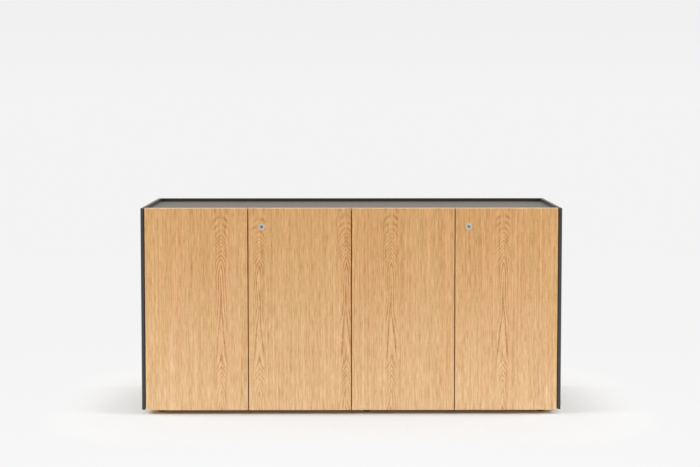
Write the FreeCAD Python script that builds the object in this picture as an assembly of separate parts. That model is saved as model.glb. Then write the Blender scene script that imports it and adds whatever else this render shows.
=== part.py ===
"""Office credenza with four veneered doors, in millimetres.

+Z is up, the doors face -Y and +X runs to their right. The origin is on the floor, under the
middle of the whole object. Each function makes one kind of piece and returns its solids, and
main() writes one STEP file for each node.
"""
import FreeCAD, Part
import os

Vector = FreeCAD.Vector

# Case
CASE_WIDTH = 1640.0
CASE_DEPTH = 432.0
CASE_HEIGHT = 810.0
CLADDING_THICKNESS = 12.0
PANEL_THICKNESS = 18.0
TOP_RECESS = 12.0
CLADDING_FLOOR_GAP = 18.0
CARCASS_FLOOR_GAP = 20.0
EDGE_RADIUS = 1.0

# Doors
DOOR_COUNT = 4
DOOR_THICKNESS = 18.0
DOOR_GAP = 3.0
DOOR_FLOOR_GAP = 16.0
DOOR_BACK_GAP = 4.0

# Shelves and their pins
SHELF_SIDE_GAP = 1.0
SHELF_FRONT_SETBACK = 20.0
SHELF_BACK_GAP = 2.0
SHELF_PIN_RADIUS = 2.5
SHELF_PIN_REACH = 9.0
SHELF_PIN_EDGE_DISTANCE = 44.0
SHELF_HOLE_PITCH = 32.0
SHELF_HOLES_EACH_WAY = 2

# Dowels and screws
DOWEL_RADIUS = 4.0
DOWEL_IN_EDGE = 18.0
DOWEL_IN_FACE = 12.0
DOWEL_END_CLEARANCE = 1.0
DOWEL_EDGE_DISTANCE = 50.0
PANEL_SCREW_RADIUS = 2.0
PANEL_SCREW_HEAD_RADIUS = 4.0
CLADDING_SCREW_BITE = 7.0
CLADDING_SCREW_EDGE_DISTANCE = 90.0
BACK_SCREW_BITE = 24.0
FITTING_SCREW_RADIUS = 1.75
FITTING_SCREW_HEAD_RADIUS = 3.5
SCREW_RECESS_WIDTH = 0.8
SCREW_RECESS_DEPTH = 1.2
SCREW_RECESS_SHARE = 0.6
BACK_TO_BACK_CLEARANCE = 1.0

# Hinges: u runs along the door from its hinge edge, v runs into the case from the door's face
HINGE_END_DISTANCE = 100.0
HINGE_AXIS_U = 9.0
HINGE_AXIS_V = 5.5
HINGE_PIN_RADIUS = 2.0
HINGE_PIN_CLEARANCE = 0.05
HINGE_EYE_RADIUS = 3.2
HINGE_ARM_HEIGHT = 12.0
HINGE_ARM_THICKNESS = 2.6
HINGE_ARM_LENGTH = 52.0
HINGE_PLATE_THICKNESS = 2.0
HINGE_PLATE_LENGTH = 36.0
HINGE_PLATE_HEIGHT = 52.0
HINGE_PLATE_SCREW_SPACING = 36.0
HINGE_SIDE_CLEARANCE = 0.4
HINGE_EAR_THICKNESS = 3.4
HINGE_EAR_RADIUS = 3.4
HINGE_SWING_CLEARANCE = 0.3
CLAMP_SCREW_RADIUS = 3.0
CLAMP_SCREW_HEAD_RADIUS = 4.5
CLAMP_SCREW_HEAD_HEIGHT = 2.0
CLAMP_SCREW_EDGE_DISTANCE = 8.0
CUP_RADIUS = 17.5
CUP_CENTRE_U = 22.5
CUP_DEPTH = 11.5
CUP_WALL = 2.0
CUP_FLANGE_THICKNESS = 1.5
CUP_FLANGE_RIM = 1.5
CUP_FLANGE_WIDTH = 18.0
CUP_FLANGE_HEIGHT = 58.0
CUP_SCREW_SPACING = 48.0

# Cam locks
LOCK_INSET = 52.0
LOCK_DROP = 72.0
LOCK_PROUD = 1.5
LOCK_HEAD_RADIUS = 13.5
LOCK_BARREL_RADIUS = 8.9
LOCK_PLUG_RADIUS = 6.5
LOCK_PLUG_CLEARANCE = 0.05
LOCK_NUT_RADIUS = 12.0
LOCK_NUT_THICKNESS = 4.0
LOCK_SQUARE = 7.0
KEYWAY_WIDTH = 1.4
KEYWAY_LENGTH = 8.0
KEYWAY_DEPTH = 14.0
CAM_THICKNESS = 2.5
CAM_WIDTH = 12.0
CAM_HUB_RADIUS = 9.0
CAM_HOLD = 11.0
CAM_CLEARANCE = 0.7
CAM_SCREW_RADIUS = 2.0
CAM_SCREW_HEAD_RADIUS = 4.0
CAM_SCREW_HEAD_HEIGHT = 2.2
STRIKE_THICKNESS = 1.8
STRIKE_WIDTH = 30.0
STRIKE_FOOT_LENGTH = 22.0
STRIKE_TIP_CLEARANCE = 3.0
STRIKE_SCREW_SPACING = 16.0
LIP_INSET = 5.0
LIP_END_CLEARANCE = 5.0
LIP_HEIGHT = 20.0
LIP_FOOT_LENGTH = 18.0

# Magnetic catches
CATCH_WIDTH = 50.0
CATCH_DEPTH = 24.0
CATCH_HEIGHT = 12.0
CATCH_TAB_LENGTH = 14.0
CATCH_TAB_THICKNESS = 2.0
CATCH_PLATE_THICKNESS = 1.2
CATCH_PLATE_WIDTH = 19.0
CATCH_PLATE_HEIGHT = 16.0
CATCH_SCREW_SPACING = 30.0
MAGNET_WIDTH = 14.0
MAGNET_HEIGHT = 6.0
MAGNET_LENGTH = 16.0
MAGNET_PROUD = 0.8
MAGNET_GAP = 0.3

# Bumpers under the doors' free corners
BUMPER_RADIUS = 4.0
BUMPER_INSET = 30.0
BUMPER_GAP = 0.3

# Levelling feet
FOOT_SIDE_INSET = 70.0
FOOT_FRONT_INSET = 55.0
FOOT_MIDDLE_OFFSET = 60.0
FOOT_BASE_RADIUS = 19.0
FOOT_BASE_HEIGHT = 7.0
FOOT_BASE_TAPER = 2.5
FOOT_HEX_RADIUS = 8.0
FOOT_HEX_HEIGHT = 5.0
FOOT_STEM_RADIUS = 3.9
FOOT_THREAD_CLEARANCE = 0.3
SOCKET_FLANGE_RADIUS = 15.0
SOCKET_FLANGE_THICKNESS = 2.0
SOCKET_BARREL_RADIUS = 7.0
SOCKET_SKIN = 2.0
FOOT_STEM_END_CLEARANCE = 2.0

# Faces of the case
SIDE_X = CASE_WIDTH / 2
CARCASS_OUTER_X = SIDE_X - CLADDING_THICKNESS
CARCASS_INNER_X = CARCASS_OUTER_X - PANEL_THICKNESS
FRONT_Y = (LOCK_PROUD - CASE_DEPTH) / 2
BACK_Y = FRONT_Y + CASE_DEPTH
CARCASS_BACK_Y = BACK_Y - CLADDING_THICKNESS
DOOR_BACK_Y = FRONT_Y + DOOR_THICKNESS
CARCASS_FRONT_Y = DOOR_BACK_Y + DOOR_BACK_GAP
BOTTOM_TOP_Z = CARCASS_FLOOR_GAP + PANEL_THICKNESS
TOP_Z = CASE_HEIGHT - TOP_RECESS
TOP_UNDER_Z = TOP_Z - PANEL_THICKNESS
SHELF_Z = (BOTTOM_TOP_Z + TOP_UNDER_Z - PANEL_THICKNESS) / 2

# Doors and what they share
DOOR_WIDTH = (2 * CARCASS_OUTER_X - (DOOR_COUNT + 1) * DOOR_GAP) / DOOR_COUNT
HINGE_HEIGHTS = (DOOR_FLOOR_GAP + HINGE_END_DISTANCE, CASE_HEIGHT - HINGE_END_DISTANCE)
LOCK_Z = CASE_HEIGHT - LOCK_DROP
BLIND_DEPTH = PANEL_THICKNESS / 2 - BACK_TO_BACK_CLEARANCE

# Lock and strikes, from the door's face into the case
CARCASS_V = DOOR_THICKNESS + DOOR_BACK_GAP
CAM_FRONT_V = CARCASS_V + STRIKE_THICKNESS + CAM_CLEARANCE
CAM_BACK_V = CAM_FRONT_V + CAM_THICKNESS
LIP_FRONT_V = CAM_BACK_V + CAM_CLEARANCE
SHORT_ARM_REACH = TOP_UNDER_Z - LOCK_Z - STRIKE_THICKNESS - STRIKE_TIP_CLEARANCE
LONG_ARM_REACH = LOCK_INSET + DOOR_GAP + LIP_INSET + CAM_HOLD

# Hinge, from the door's hinge edge and face
EAR_INNER_W = HINGE_ARM_HEIGHT / 2 + HINGE_SIDE_CLEARANCE
EAR_OUTER_W = EAR_INNER_W + HINGE_EAR_THICKNESS
ARM_FRONT_V = CARCASS_V + HINGE_PLATE_THICKNESS
NECK_KNEE_V = DOOR_THICKNESS + CUP_FLANGE_THICKNESS
POCKET_FLOOR_V = HINGE_AXIS_V - HINGE_EYE_RADIUS - HINGE_SWING_CLEARANCE
PLATE_FRONT_V = ARM_FRONT_V + (HINGE_ARM_LENGTH - HINGE_PLATE_LENGTH) / 2
CLAMP_SCREW_V = PLATE_FRONT_V + HINGE_PLATE_LENGTH - CLAMP_SCREW_EDGE_DISTANCE
OVERRUN = 5.0


def box(x, y, z):
    """A box between two corners, each axis given as a pair of limits in any order."""
    low = Vector(min(x), min(y), min(z))
    return Part.makeBox(abs(x[1] - x[0]), abs(y[1] - y[0]), abs(z[1] - z[0]), low)


def rod(radius, start, end):
    """A cylinder between two points."""
    axis = end - start
    return Part.makeCylinder(radius, axis.Length, start, axis)


def eased_panel(x, y, z):
    """A board with its edges rounded as edge banding leaves them."""
    board = box(x, y, z)
    return board.makeFillet(EDGE_RADIUS, board.Edges)


def without(body, cutters):
    """The body with every cutter taken out of it."""
    return body.cut(cutters) if cutters else body


def aimed(shape, point, direction):
    """The shape, made along +Z at the origin, turned along a direction and moved to a point."""
    turn = FreeCAD.Rotation(Vector(0, 0, 1), direction)
    placed = shape.copy()
    placed.Placement = FreeCAD.Placement(point, turn)
    return placed


def screw_outline(point, direction, length, radius, head_radius):
    """A countersunk screw's outline: its head lies in a surface at the point."""
    head_height = head_radius - radius
    cone = Part.makeCone(head_radius, radius, head_height)
    shank = Part.makeCylinder(radius, length - head_height, Vector(0, 0, head_height))
    return aimed(cone.fuse(shank), point, direction)


def cross_recess(point, direction, span):
    """The cross that a screwdriver turns, sunk into a screw's head."""
    half = SCREW_RECESS_WIDTH / 2
    depth = (0.0, SCREW_RECESS_DEPTH)
    one = box((-span, span), (-half, half), depth)
    other = box((-half, half), (-span, span), depth)
    return aimed(one.fuse(other), point, direction)


class Screw:
    """A countersunk screw: its outline cuts the hole that it fills."""

    def __init__(self, point, direction, length, radius, head_radius):
        self.hole = screw_outline(point, direction, length, radius, head_radius)
        self.solid = self.hole.cut(cross_recess(point, direction, head_radius * SCREW_RECESS_SHARE))


def panel_screw(point, direction, length):
    return Screw(point, direction, length, PANEL_SCREW_RADIUS, PANEL_SCREW_HEAD_RADIUS)


def fitting_screw(point, direction, plate_thickness):
    """A short screw that holds a fitting's plate and bites less than half through a panel."""
    length = plate_thickness + BLIND_DEPTH
    return Screw(point, direction, length, FITTING_SCREW_RADIUS, FITTING_SCREW_HEAD_RADIUS)


class Door:
    """Where one door stands, which edge it turns on and which panel carries its hinges."""

    def __init__(self, index):
        self.name = f"door_{index + 1}"
        self.left = -CARCASS_OUTER_X + DOOR_GAP + index * (DOOR_WIDTH + DOOR_GAP)
        self.right = self.left + DOOR_WIDTH
        self.hinged_left = index % 2 == 0
        self.locks = not self.hinged_left
        self.outer = index in (0, DOOR_COUNT - 1)
        self.hinge_x = self.left if self.hinged_left else self.right
        self.free_x = self.right if self.hinged_left else self.left
        self.along = 1.0 if self.hinged_left else -1.0
        if self.outer:
            self.panel_face_u = PANEL_THICKNESS - DOOR_GAP
        else:
            self.panel_face_u = (PANEL_THICKNESS - DOOR_GAP) / 2

    def place(self, shape, height):
        """Move a hinge piece, made in u, v and w, to this door at a height."""
        if not self.hinged_left:
            shape = shape.mirror(Vector(0, 0, 0), Vector(1, 0, 0))
        shape.translate(Vector(self.hinge_x, FRONT_Y, height))
        return shape


# Dowels

def dowel_places():
    """Each dowel as a point on its joint and the direction into the panel whose face it enters."""
    near = CARCASS_FRONT_Y + DOWEL_EDGE_DISTANCE
    far = CARCASS_BACK_Y - DOWEL_EDGE_DISTANCE
    bottom_middle_z = CARCASS_FLOOR_GAP + PANEL_THICKNESS / 2
    side_middle_x = CARCASS_INNER_X + PANEL_THICKNESS / 2
    places = {"bottom_left": [], "bottom_right": [], "top": [], "partition_bottom": []}
    for y in (near, (near + far) / 2, far):
        places["bottom_left"].append((Vector(-CARCASS_INNER_X, y, bottom_middle_z), Vector(-1, 0, 0)))
        places["bottom_right"].append((Vector(CARCASS_INNER_X, y, bottom_middle_z), Vector(1, 0, 0)))
        places["partition_bottom"].append((Vector(0, y, BOTTOM_TOP_Z), Vector(0, 0, -1)))
        for x in (-side_middle_x, 0.0, side_middle_x):
            places["top"].append((Vector(x, y, TOP_UNDER_Z), Vector(0, 0, 1)))
    return places


def dowel(place, end_clearance=0.0):
    point, direction = place
    start = point - direction * (DOWEL_IN_EDGE + end_clearance)
    end = point + direction * (DOWEL_IN_FACE + end_clearance)
    return rod(DOWEL_RADIUS, start, end)


def dowel_holes(*groups):
    places = dowel_places()
    return [dowel(place, DOWEL_END_CLEARANCE) for group in groups for place in places[group]]


def dowels():
    return [dowel(place) for group in dowel_places().values() for place in group]


# Screws that hold the cladding

def cladding_screws(side):
    """Screws from inside the case, through a carcass side into the side cladding."""
    length = PANEL_THICKNESS + CLADDING_SCREW_BITE
    inset = CLADDING_SCREW_EDGE_DISTANCE
    screws = []
    for y in (CARCASS_FRONT_Y + inset, CARCASS_BACK_Y - inset):
        for z in (BOTTOM_TOP_Z + inset / 2, TOP_UNDER_Z - inset / 2):
            point = Vector(side * CARCASS_INNER_X, y, z)
            screws.append(panel_screw(point, Vector(side, 0, 0), length))
    return screws


def back_screws():
    """Screws through the back cladding into the rear edges of the carcass."""
    length = CLADDING_THICKNESS + BACK_SCREW_BITE
    side_x = CARCASS_INNER_X + PANEL_THICKNESS / 2
    inset = CLADDING_SCREW_EDGE_DISTANCE
    low_z = CARCASS_FLOOR_GAP + PANEL_THICKNESS / 2
    high_z = TOP_UNDER_Z + PANEL_THICKNESS / 2
    upright_heights = (BOTTOM_TOP_Z + inset, (BOTTOM_TOP_Z + TOP_UNDER_Z) / 2, TOP_UNDER_Z - inset)
    places = [(x, z) for x in (-side_x, 0.0, side_x) for z in upright_heights]
    places += [(x, z) for x in (-side_x / 2, side_x / 2) for z in (low_z, high_z)]
    return [panel_screw(Vector(x, BACK_Y, z), Vector(0, -1, 0), length) for x, z in places]


# Shelves

def shelf_pin_rows():
    """Each row of shelf holes as its panel face's x, the direction into the case and its y."""
    near = CARCASS_FRONT_Y + SHELF_FRONT_SETBACK + SHELF_PIN_EDGE_DISTANCE
    far = CARCASS_BACK_Y - SHELF_BACK_GAP - SHELF_PIN_EDGE_DISTANCE
    half = PANEL_THICKNESS / 2
    faces = ((-CARCASS_INNER_X, 1), (-half, -1), (half, 1), (CARCASS_INNER_X, -1))
    return [(x, inward, y) for x, inward in faces for y in (near, far)]


def shelf_pins():
    """Pegs under the shelves, half in the panel and half under the shelf."""
    height = SHELF_Z - SHELF_PIN_RADIUS
    pins = []
    for x, inward, y in shelf_pin_rows():
        start = Vector(x - inward * BLIND_DEPTH, y, height)
        pins.append(rod(SHELF_PIN_RADIUS, start, Vector(x + inward * SHELF_PIN_REACH, y, height)))
    return pins


def shelf_holes(face_x):
    """The holes of every row on one panel face, so that the shelf can be set higher or lower."""
    holes = []
    for x, inward, y in shelf_pin_rows():
        for step in range(-SHELF_HOLES_EACH_WAY, SHELF_HOLES_EACH_WAY + 1):
            height = SHELF_Z - SHELF_PIN_RADIUS + step * SHELF_HOLE_PITCH
            start = Vector(x + inward * OVERRUN, y, height)
            end = Vector(x - inward * BLIND_DEPTH, y, height)
            if x == face_x:
                holes.append(rod(SHELF_PIN_RADIUS, start, end))
    return holes


def shelf(side):
    inner = PANEL_THICKNESS / 2 + SHELF_SIDE_GAP
    outer = CARCASS_INNER_X - SHELF_SIDE_GAP
    y = (CARCASS_FRONT_Y + SHELF_FRONT_SETBACK, CARCASS_BACK_Y - SHELF_BACK_GAP)
    return eased_panel((side * inner, side * outer), y, (SHELF_Z, SHELF_Z + PANEL_THICKNESS))


# Hinges

def arm_middle_u(door):
    """Middle of a hinge arm's thickness, seated on the mounting plate."""
    return door.panel_face_u + HINGE_PLATE_THICKNESS + HINGE_ARM_THICKNESS / 2


def neck_limit_u(door):
    """How far along the door the slot for the arm's neck reaches."""
    return arm_middle_u(door) + HINGE_ARM_THICKNESS / 2 + HINGE_SWING_CLEARANCE


def strip(start, end, height):
    """A flat bar that stands on edge between two points, with round ends."""
    half = HINGE_ARM_THICKNESS / 2
    along = end - start
    bar = box((0.0, along.Length), (-half, half), (-height / 2, height / 2))
    bar.Placement = FreeCAD.Placement(start, FreeCAD.Rotation(Vector(1, 0, 0), along))
    rise = Vector(0, 0, height / 2)
    return bar.fuse([rod(half, point - rise, point + rise) for point in (start, end)])


def axis_rod(radius, half_height):
    """A cylinder on the hinge's axis."""
    start = Vector(HINGE_AXIS_U, HINGE_AXIS_V, -half_height)
    return rod(radius, start, Vector(HINGE_AXIS_U, HINGE_AXIS_V, half_height))


def hinge_arm(door):
    """An arm: the eye that holds the pin, a bent neck, and a bar clamped to the plate."""
    middle_u = arm_middle_u(door)
    eye = axis_rod(HINGE_EYE_RADIUS, HINGE_ARM_HEIGHT / 2)
    pin_centre = Vector(HINGE_AXIS_U, HINGE_AXIS_V, 0)
    knee = Vector(middle_u, NECK_KNEE_V, 0)
    heel = Vector(middle_u, ARM_FRONT_V + HINGE_ARM_LENGTH, 0)
    neck = strip(pin_centre, knee, HINGE_ARM_HEIGHT)
    bar = strip(knee, heel, HINGE_ARM_HEIGHT)
    arm = eye.fuse([neck, bar]).removeSplitter()
    return without(arm, [axis_rod(HINGE_PIN_RADIUS, EAR_OUTER_W), clamp_screw(door)])


def hinge_pin():
    return axis_rod(HINGE_PIN_RADIUS, EAR_OUTER_W)


def clamp_screw(door):
    """The machine screw that clamps an arm to its plate."""
    seat_u = door.panel_face_u + HINGE_PLATE_THICKNESS + HINGE_ARM_THICKNESS
    root = Vector(door.panel_face_u, CLAMP_SCREW_V, 0)
    seat = Vector(seat_u, CLAMP_SCREW_V, 0)
    top = Vector(seat_u + CLAMP_SCREW_HEAD_HEIGHT, CLAMP_SCREW_V, 0)
    return rod(CLAMP_SCREW_RADIUS, root, seat).fuse(rod(CLAMP_SCREW_HEAD_RADIUS, seat, top))


def slotted_clamp_screw(door):
    screw = clamp_screw(door)
    top_u = door.panel_face_u + HINGE_PLATE_THICKNESS + HINGE_ARM_THICKNESS + CLAMP_SCREW_HEAD_HEIGHT
    recess = cross_recess(Vector(top_u, CLAMP_SCREW_V, 0), Vector(-1, 0, 0), CLAMP_SCREW_RADIUS)
    return screw.cut(recess)


def plate_screws(door):
    face = door.panel_face_u + HINGE_PLATE_THICKNESS
    middle_v = PLATE_FRONT_V + HINGE_PLATE_LENGTH / 2
    return [
        fitting_screw(Vector(face, middle_v, w), Vector(-1, 0, 0), HINGE_PLATE_THICKNESS)
        for w in (-HINGE_PLATE_SCREW_SPACING / 2, HINGE_PLATE_SCREW_SPACING / 2)
    ]


def hinge_plate(door):
    """A mounting plate on the carcass side or the partition."""
    face = door.panel_face_u
    half = HINGE_PLATE_HEIGHT / 2
    length = (PLATE_FRONT_V, PLATE_FRONT_V + HINGE_PLATE_LENGTH)
    plate = box((face, face + HINGE_PLATE_THICKNESS), length, (-half, half))
    holes = [screw.hole for screw in plate_screws(door)]
    return without(plate, holes + [clamp_screw(door)])


def cup_rod(radius, v_start, v_end):
    """A cylinder on the cup's centre line."""
    start = Vector(CUP_CENTRE_U, v_start, 0)
    return rod(radius, start, Vector(CUP_CENTRE_U, v_end, 0))


def neck_slot(door, floor_v):
    """Room for the arm's eye and neck, open at the hinge edge and at the back."""
    u = (-OVERRUN, neck_limit_u(door))
    v = (floor_v, DOOR_THICKNESS + CUP_FLANGE_THICKNESS + OVERRUN)
    return box(u, v, (-EAR_INNER_W, EAR_INNER_W))


def ears():
    """Two ears that run on the hinge pin, above and below the arm's eye."""
    u = (HINGE_AXIS_U - HINGE_EAR_RADIUS, CUP_CENTRE_U)
    pair = []
    for w in ((EAR_INNER_W, EAR_OUTER_W), (-EAR_OUTER_W, -EAR_INNER_W)):
        block = box(u, (HINGE_AXIS_V, DOOR_THICKNESS), w)
        tip_start = Vector(HINGE_AXIS_U, HINGE_AXIS_V, w[0])
        tip = rod(HINGE_EAR_RADIUS, tip_start, Vector(HINGE_AXIS_U, HINGE_AXIS_V, w[1]))
        pair.append(block.fuse(tip))
    return pair


def cup_screws():
    seat_v = DOOR_THICKNESS + CUP_FLANGE_THICKNESS
    return [
        fitting_screw(Vector(CUP_CENTRE_U, seat_v, w), Vector(0, -1, 0), CUP_FLANGE_THICKNESS)
        for w in (-CUP_SCREW_SPACING / 2, CUP_SCREW_SPACING / 2)
    ]


def hinge_cup(door):
    """A cup let into the door, with a screwed flange and the two ears."""
    flange_v = (DOOR_THICKNESS, DOOR_THICKNESS + CUP_FLANGE_THICKNESS)
    half_width = CUP_FLANGE_WIDTH / 2
    half_height = CUP_FLANGE_HEIGHT / 2
    flange_u = (CUP_CENTRE_U - half_width, CUP_CENTRE_U + half_width)
    flange = box(flange_u, flange_v, (-half_height, half_height))
    rim = cup_rod(CUP_RADIUS + CUP_FLANGE_RIM, *flange_v)
    bowl = cup_rod(CUP_RADIUS, DOOR_THICKNESS - CUP_DEPTH, DOOR_THICKNESS)
    hollow_floor = DOOR_THICKNESS - CUP_DEPTH + CUP_WALL
    hollow = cup_rod(CUP_RADIUS - CUP_WALL, hollow_floor, flange_v[1])
    shell = bowl.fuse([rim, flange]).cut(hollow)
    cup = shell.fuse(ears()).removeSplitter()
    pin_bore = axis_rod(HINGE_PIN_RADIUS + HINGE_PIN_CLEARANCE, EAR_OUTER_W)
    holes = [screw.hole for screw in cup_screws()]
    return without(cup, [neck_slot(door, -OVERRUN), pin_bore] + holes)


def hinge_pocket(door):
    """What is milled out of the door for one hinge."""
    bore = cup_rod(CUP_RADIUS, DOOR_THICKNESS - CUP_DEPTH, DOOR_THICKNESS + OVERRUN)
    return bore.fuse([neck_slot(door, POCKET_FLOOR_V)] + ears())


# Cam locks and strikes

def lock_x(door):
    return door.free_x + LOCK_INSET


def lock_rod(door, radius, v_start, v_end):
    """A cylinder on a lock's centre line."""
    start = Vector(lock_x(door), FRONT_Y + v_start, LOCK_Z)
    return rod(radius, start, Vector(lock_x(door), FRONT_Y + v_end, LOCK_Z))


def lock_block(door, half_width, half_height, v_start, v_end):
    """A box centred on a lock's centre line."""
    x = lock_x(door)
    y = (FRONT_Y + v_start, FRONT_Y + v_end)
    return box((x - half_width, x + half_width), y, (LOCK_Z - half_height, LOCK_Z + half_height))


def lock_housing(door):
    """The housing: a head on the door's face and a barrel through the door."""
    head = lock_rod(door, LOCK_HEAD_RADIUS, -LOCK_PROUD, 0.0)
    front_rim = [edge for edge in head.Edges if edge.BoundBox.YMax < FRONT_Y - LOCK_PROUD / 2]
    head = head.makeChamfer(LOCK_PROUD / 3, front_rim)
    barrel_end = CAM_FRONT_V - CAM_CLEARANCE / 2
    barrel = lock_rod(door, LOCK_BARREL_RADIUS, 0.0, barrel_end)
    bore = lock_rod(door, LOCK_PLUG_RADIUS + LOCK_PLUG_CLEARANCE, -OVERRUN, barrel_end + OVERRUN)
    return head.fuse(barrel).cut(bore)


def lock_nut(door):
    """The nut that clamps the housing from the back of the door."""
    nut = lock_rod(door, LOCK_NUT_RADIUS, DOOR_THICKNESS, DOOR_THICKNESS + LOCK_NUT_THICKNESS)
    return nut.cut(lock_rod(door, LOCK_BARREL_RADIUS, 0.0, CAM_FRONT_V))


def lock_plug(door):
    """The cylinder that the key turns, with its keyway and the square that drives the cam."""
    barrel = lock_rod(door, LOCK_PLUG_RADIUS, -LOCK_PROUD, CAM_FRONT_V)
    half = LOCK_SQUARE / 2
    square = lock_block(door, half, half, CAM_FRONT_V, CAM_BACK_V)
    keyway_end = KEYWAY_DEPTH - LOCK_PROUD
    keyway = lock_block(door, KEYWAY_WIDTH / 2, KEYWAY_LENGTH / 2, -LOCK_PROUD - OVERRUN, keyway_end)
    thread = lock_rod(door, CAM_SCREW_RADIUS, KEYWAY_DEPTH + OVERRUN / 2, CAM_BACK_V + OVERRUN)
    return without(barrel.fuse(square), [keyway, thread])


def lock_cam(door):
    """The cam, unlocked: its short arm points at the meeting edge and its long arm down."""
    x = lock_x(door)
    half = CAM_WIDTH / 2
    y = (FRONT_Y + CAM_FRONT_V, FRONT_Y + CAM_BACK_V)
    hub = lock_rod(door, CAM_HUB_RADIUS, CAM_FRONT_V, CAM_BACK_V)
    short_arm = box((x - SHORT_ARM_REACH, x), y, (LOCK_Z - half, LOCK_Z + half))
    long_arm = box((x - half, x + half), y, (LOCK_Z - LONG_ARM_REACH, LOCK_Z))
    cam = hub.fuse([short_arm, long_arm]).removeSplitter()
    half_square = LOCK_SQUARE / 2
    return cam.cut(lock_block(door, half_square, half_square, CAM_FRONT_V, CAM_BACK_V))


def cam_screw(door):
    head_end = CAM_BACK_V + CAM_SCREW_HEAD_HEIGHT
    head = lock_rod(door, CAM_SCREW_HEAD_RADIUS, CAM_BACK_V, head_end)
    shank = lock_rod(door, CAM_SCREW_RADIUS, KEYWAY_DEPTH + OVERRUN / 2, CAM_BACK_V)
    recess_point = Vector(lock_x(door), FRONT_Y + head_end, LOCK_Z)
    recess = cross_recess(recess_point, Vector(0, -1, 0), CAM_SCREW_HEAD_RADIUS * SCREW_RECESS_SHARE)
    return head.fuse(shank).cut(recess)


def cam_strike_screws(door):
    y = CARCASS_FRONT_Y + (STRIKE_THICKNESS + STRIKE_FOOT_LENGTH) / 2
    height = TOP_UNDER_Z - STRIKE_THICKNESS
    half = STRIKE_SCREW_SPACING / 2
    return [
        fitting_screw(Vector(lock_x(door) + offset, y, height), Vector(0, 0, 1), STRIKE_THICKNESS)
        for offset in (-half, half)
    ]


def cam_strike(door):
    """An angle under the top: the cam's short arm turns up behind its hanging leg."""
    half = STRIKE_WIDTH / 2
    x = (lock_x(door) - half, lock_x(door) + half)
    leg_end = LOCK_Z + SHORT_ARM_REACH - CAM_HOLD
    leg_y = (CARCASS_FRONT_Y, CARCASS_FRONT_Y + STRIKE_THICKNESS)
    leg = box(x, leg_y, (leg_end, TOP_UNDER_Z))
    foot_y = (CARCASS_FRONT_Y, CARCASS_FRONT_Y + STRIKE_FOOT_LENGTH)
    foot = box(x, foot_y, (TOP_UNDER_Z - STRIKE_THICKNESS, TOP_UNDER_Z))
    return without(leg.fuse(foot).removeSplitter(), [screw.hole for screw in cam_strike_screws(door)])


def lip_riser_x(door):
    """Where the lip's riser stands on the door beside the lock, from that door's free edge."""
    return door.free_x - LIP_INSET - CAM_HOLD - LIP_END_CLEARANCE


def lock_lip_screws(door):
    x = lip_riser_x(door) - STRIKE_THICKNESS - LIP_FOOT_LENGTH / 2
    y = DOOR_BACK_Y + STRIKE_THICKNESS
    half = LIP_HEIGHT / 4
    return [
        fitting_screw(Vector(x, y, LOCK_Z + offset), Vector(0, -1, 0), STRIKE_THICKNESS)
        for offset in (-half, half)
    ]


def lock_lip(door):
    """A cranked plate on the unlocked door: the cam's long arm turns in front of its lip."""
    z = (LOCK_Z - LIP_HEIGHT / 2, LOCK_Z + LIP_HEIGHT / 2)
    riser_x = lip_riser_x(door)
    lip_back_y = FRONT_Y + LIP_FRONT_V + STRIKE_THICKNESS
    lip = box((riser_x, door.free_x - LIP_INSET), (FRONT_Y + LIP_FRONT_V, lip_back_y), z)
    riser = box((riser_x - STRIKE_THICKNESS, riser_x), (DOOR_BACK_Y, lip_back_y), z)
    foot_x = (riser_x - STRIKE_THICKNESS - LIP_FOOT_LENGTH, riser_x)
    foot = box(foot_x, (DOOR_BACK_Y, DOOR_BACK_Y + STRIKE_THICKNESS), z)
    plate = lip.fuse([riser, foot]).removeSplitter()
    return without(plate, [screw.hole for screw in lock_lip_screws(door)])


# Magnetic catches

MAGNET_FRONT_Y = DOOR_BACK_Y + CATCH_PLATE_THICKNESS + MAGNET_GAP
CATCH_FRONT_Y = MAGNET_FRONT_Y + MAGNET_PROUD
CATCH_BACK_Y = CATCH_FRONT_Y + CATCH_DEPTH
CATCH_MIDDLE_Z = TOP_UNDER_Z - CATCH_HEIGHT / 2
CATCH_PLATE_OFFSET = DOOR_GAP / 2 + (CATCH_WIDTH - DOOR_GAP) / 4


def catch_x(left_door):
    """Middle of a catch, on the line where two doors meet."""
    return left_door.free_x + DOOR_GAP / 2


def catch_magnets(left_door):
    """Two magnets, one for each door of the pair."""
    y = (MAGNET_FRONT_Y, MAGNET_FRONT_Y + MAGNET_LENGTH)
    z = (CATCH_MIDDLE_Z - MAGNET_HEIGHT / 2, CATCH_MIDDLE_Z + MAGNET_HEIGHT / 2)
    half = MAGNET_WIDTH / 2
    middles = (catch_x(left_door) - CATCH_PLATE_OFFSET, catch_x(left_door) + CATCH_PLATE_OFFSET)
    return [box((x - half, x + half), y, z) for x in middles]


def catch_screws(left_door):
    y = CATCH_BACK_Y + CATCH_TAB_LENGTH / 2
    height = TOP_UNDER_Z - CATCH_TAB_THICKNESS
    half = CATCH_SCREW_SPACING / 2
    return [
        fitting_screw(Vector(catch_x(left_door) + offset, y, height), Vector(0, 0, 1),
                      CATCH_TAB_THICKNESS)
        for offset in (-half, half)
    ]


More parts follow.
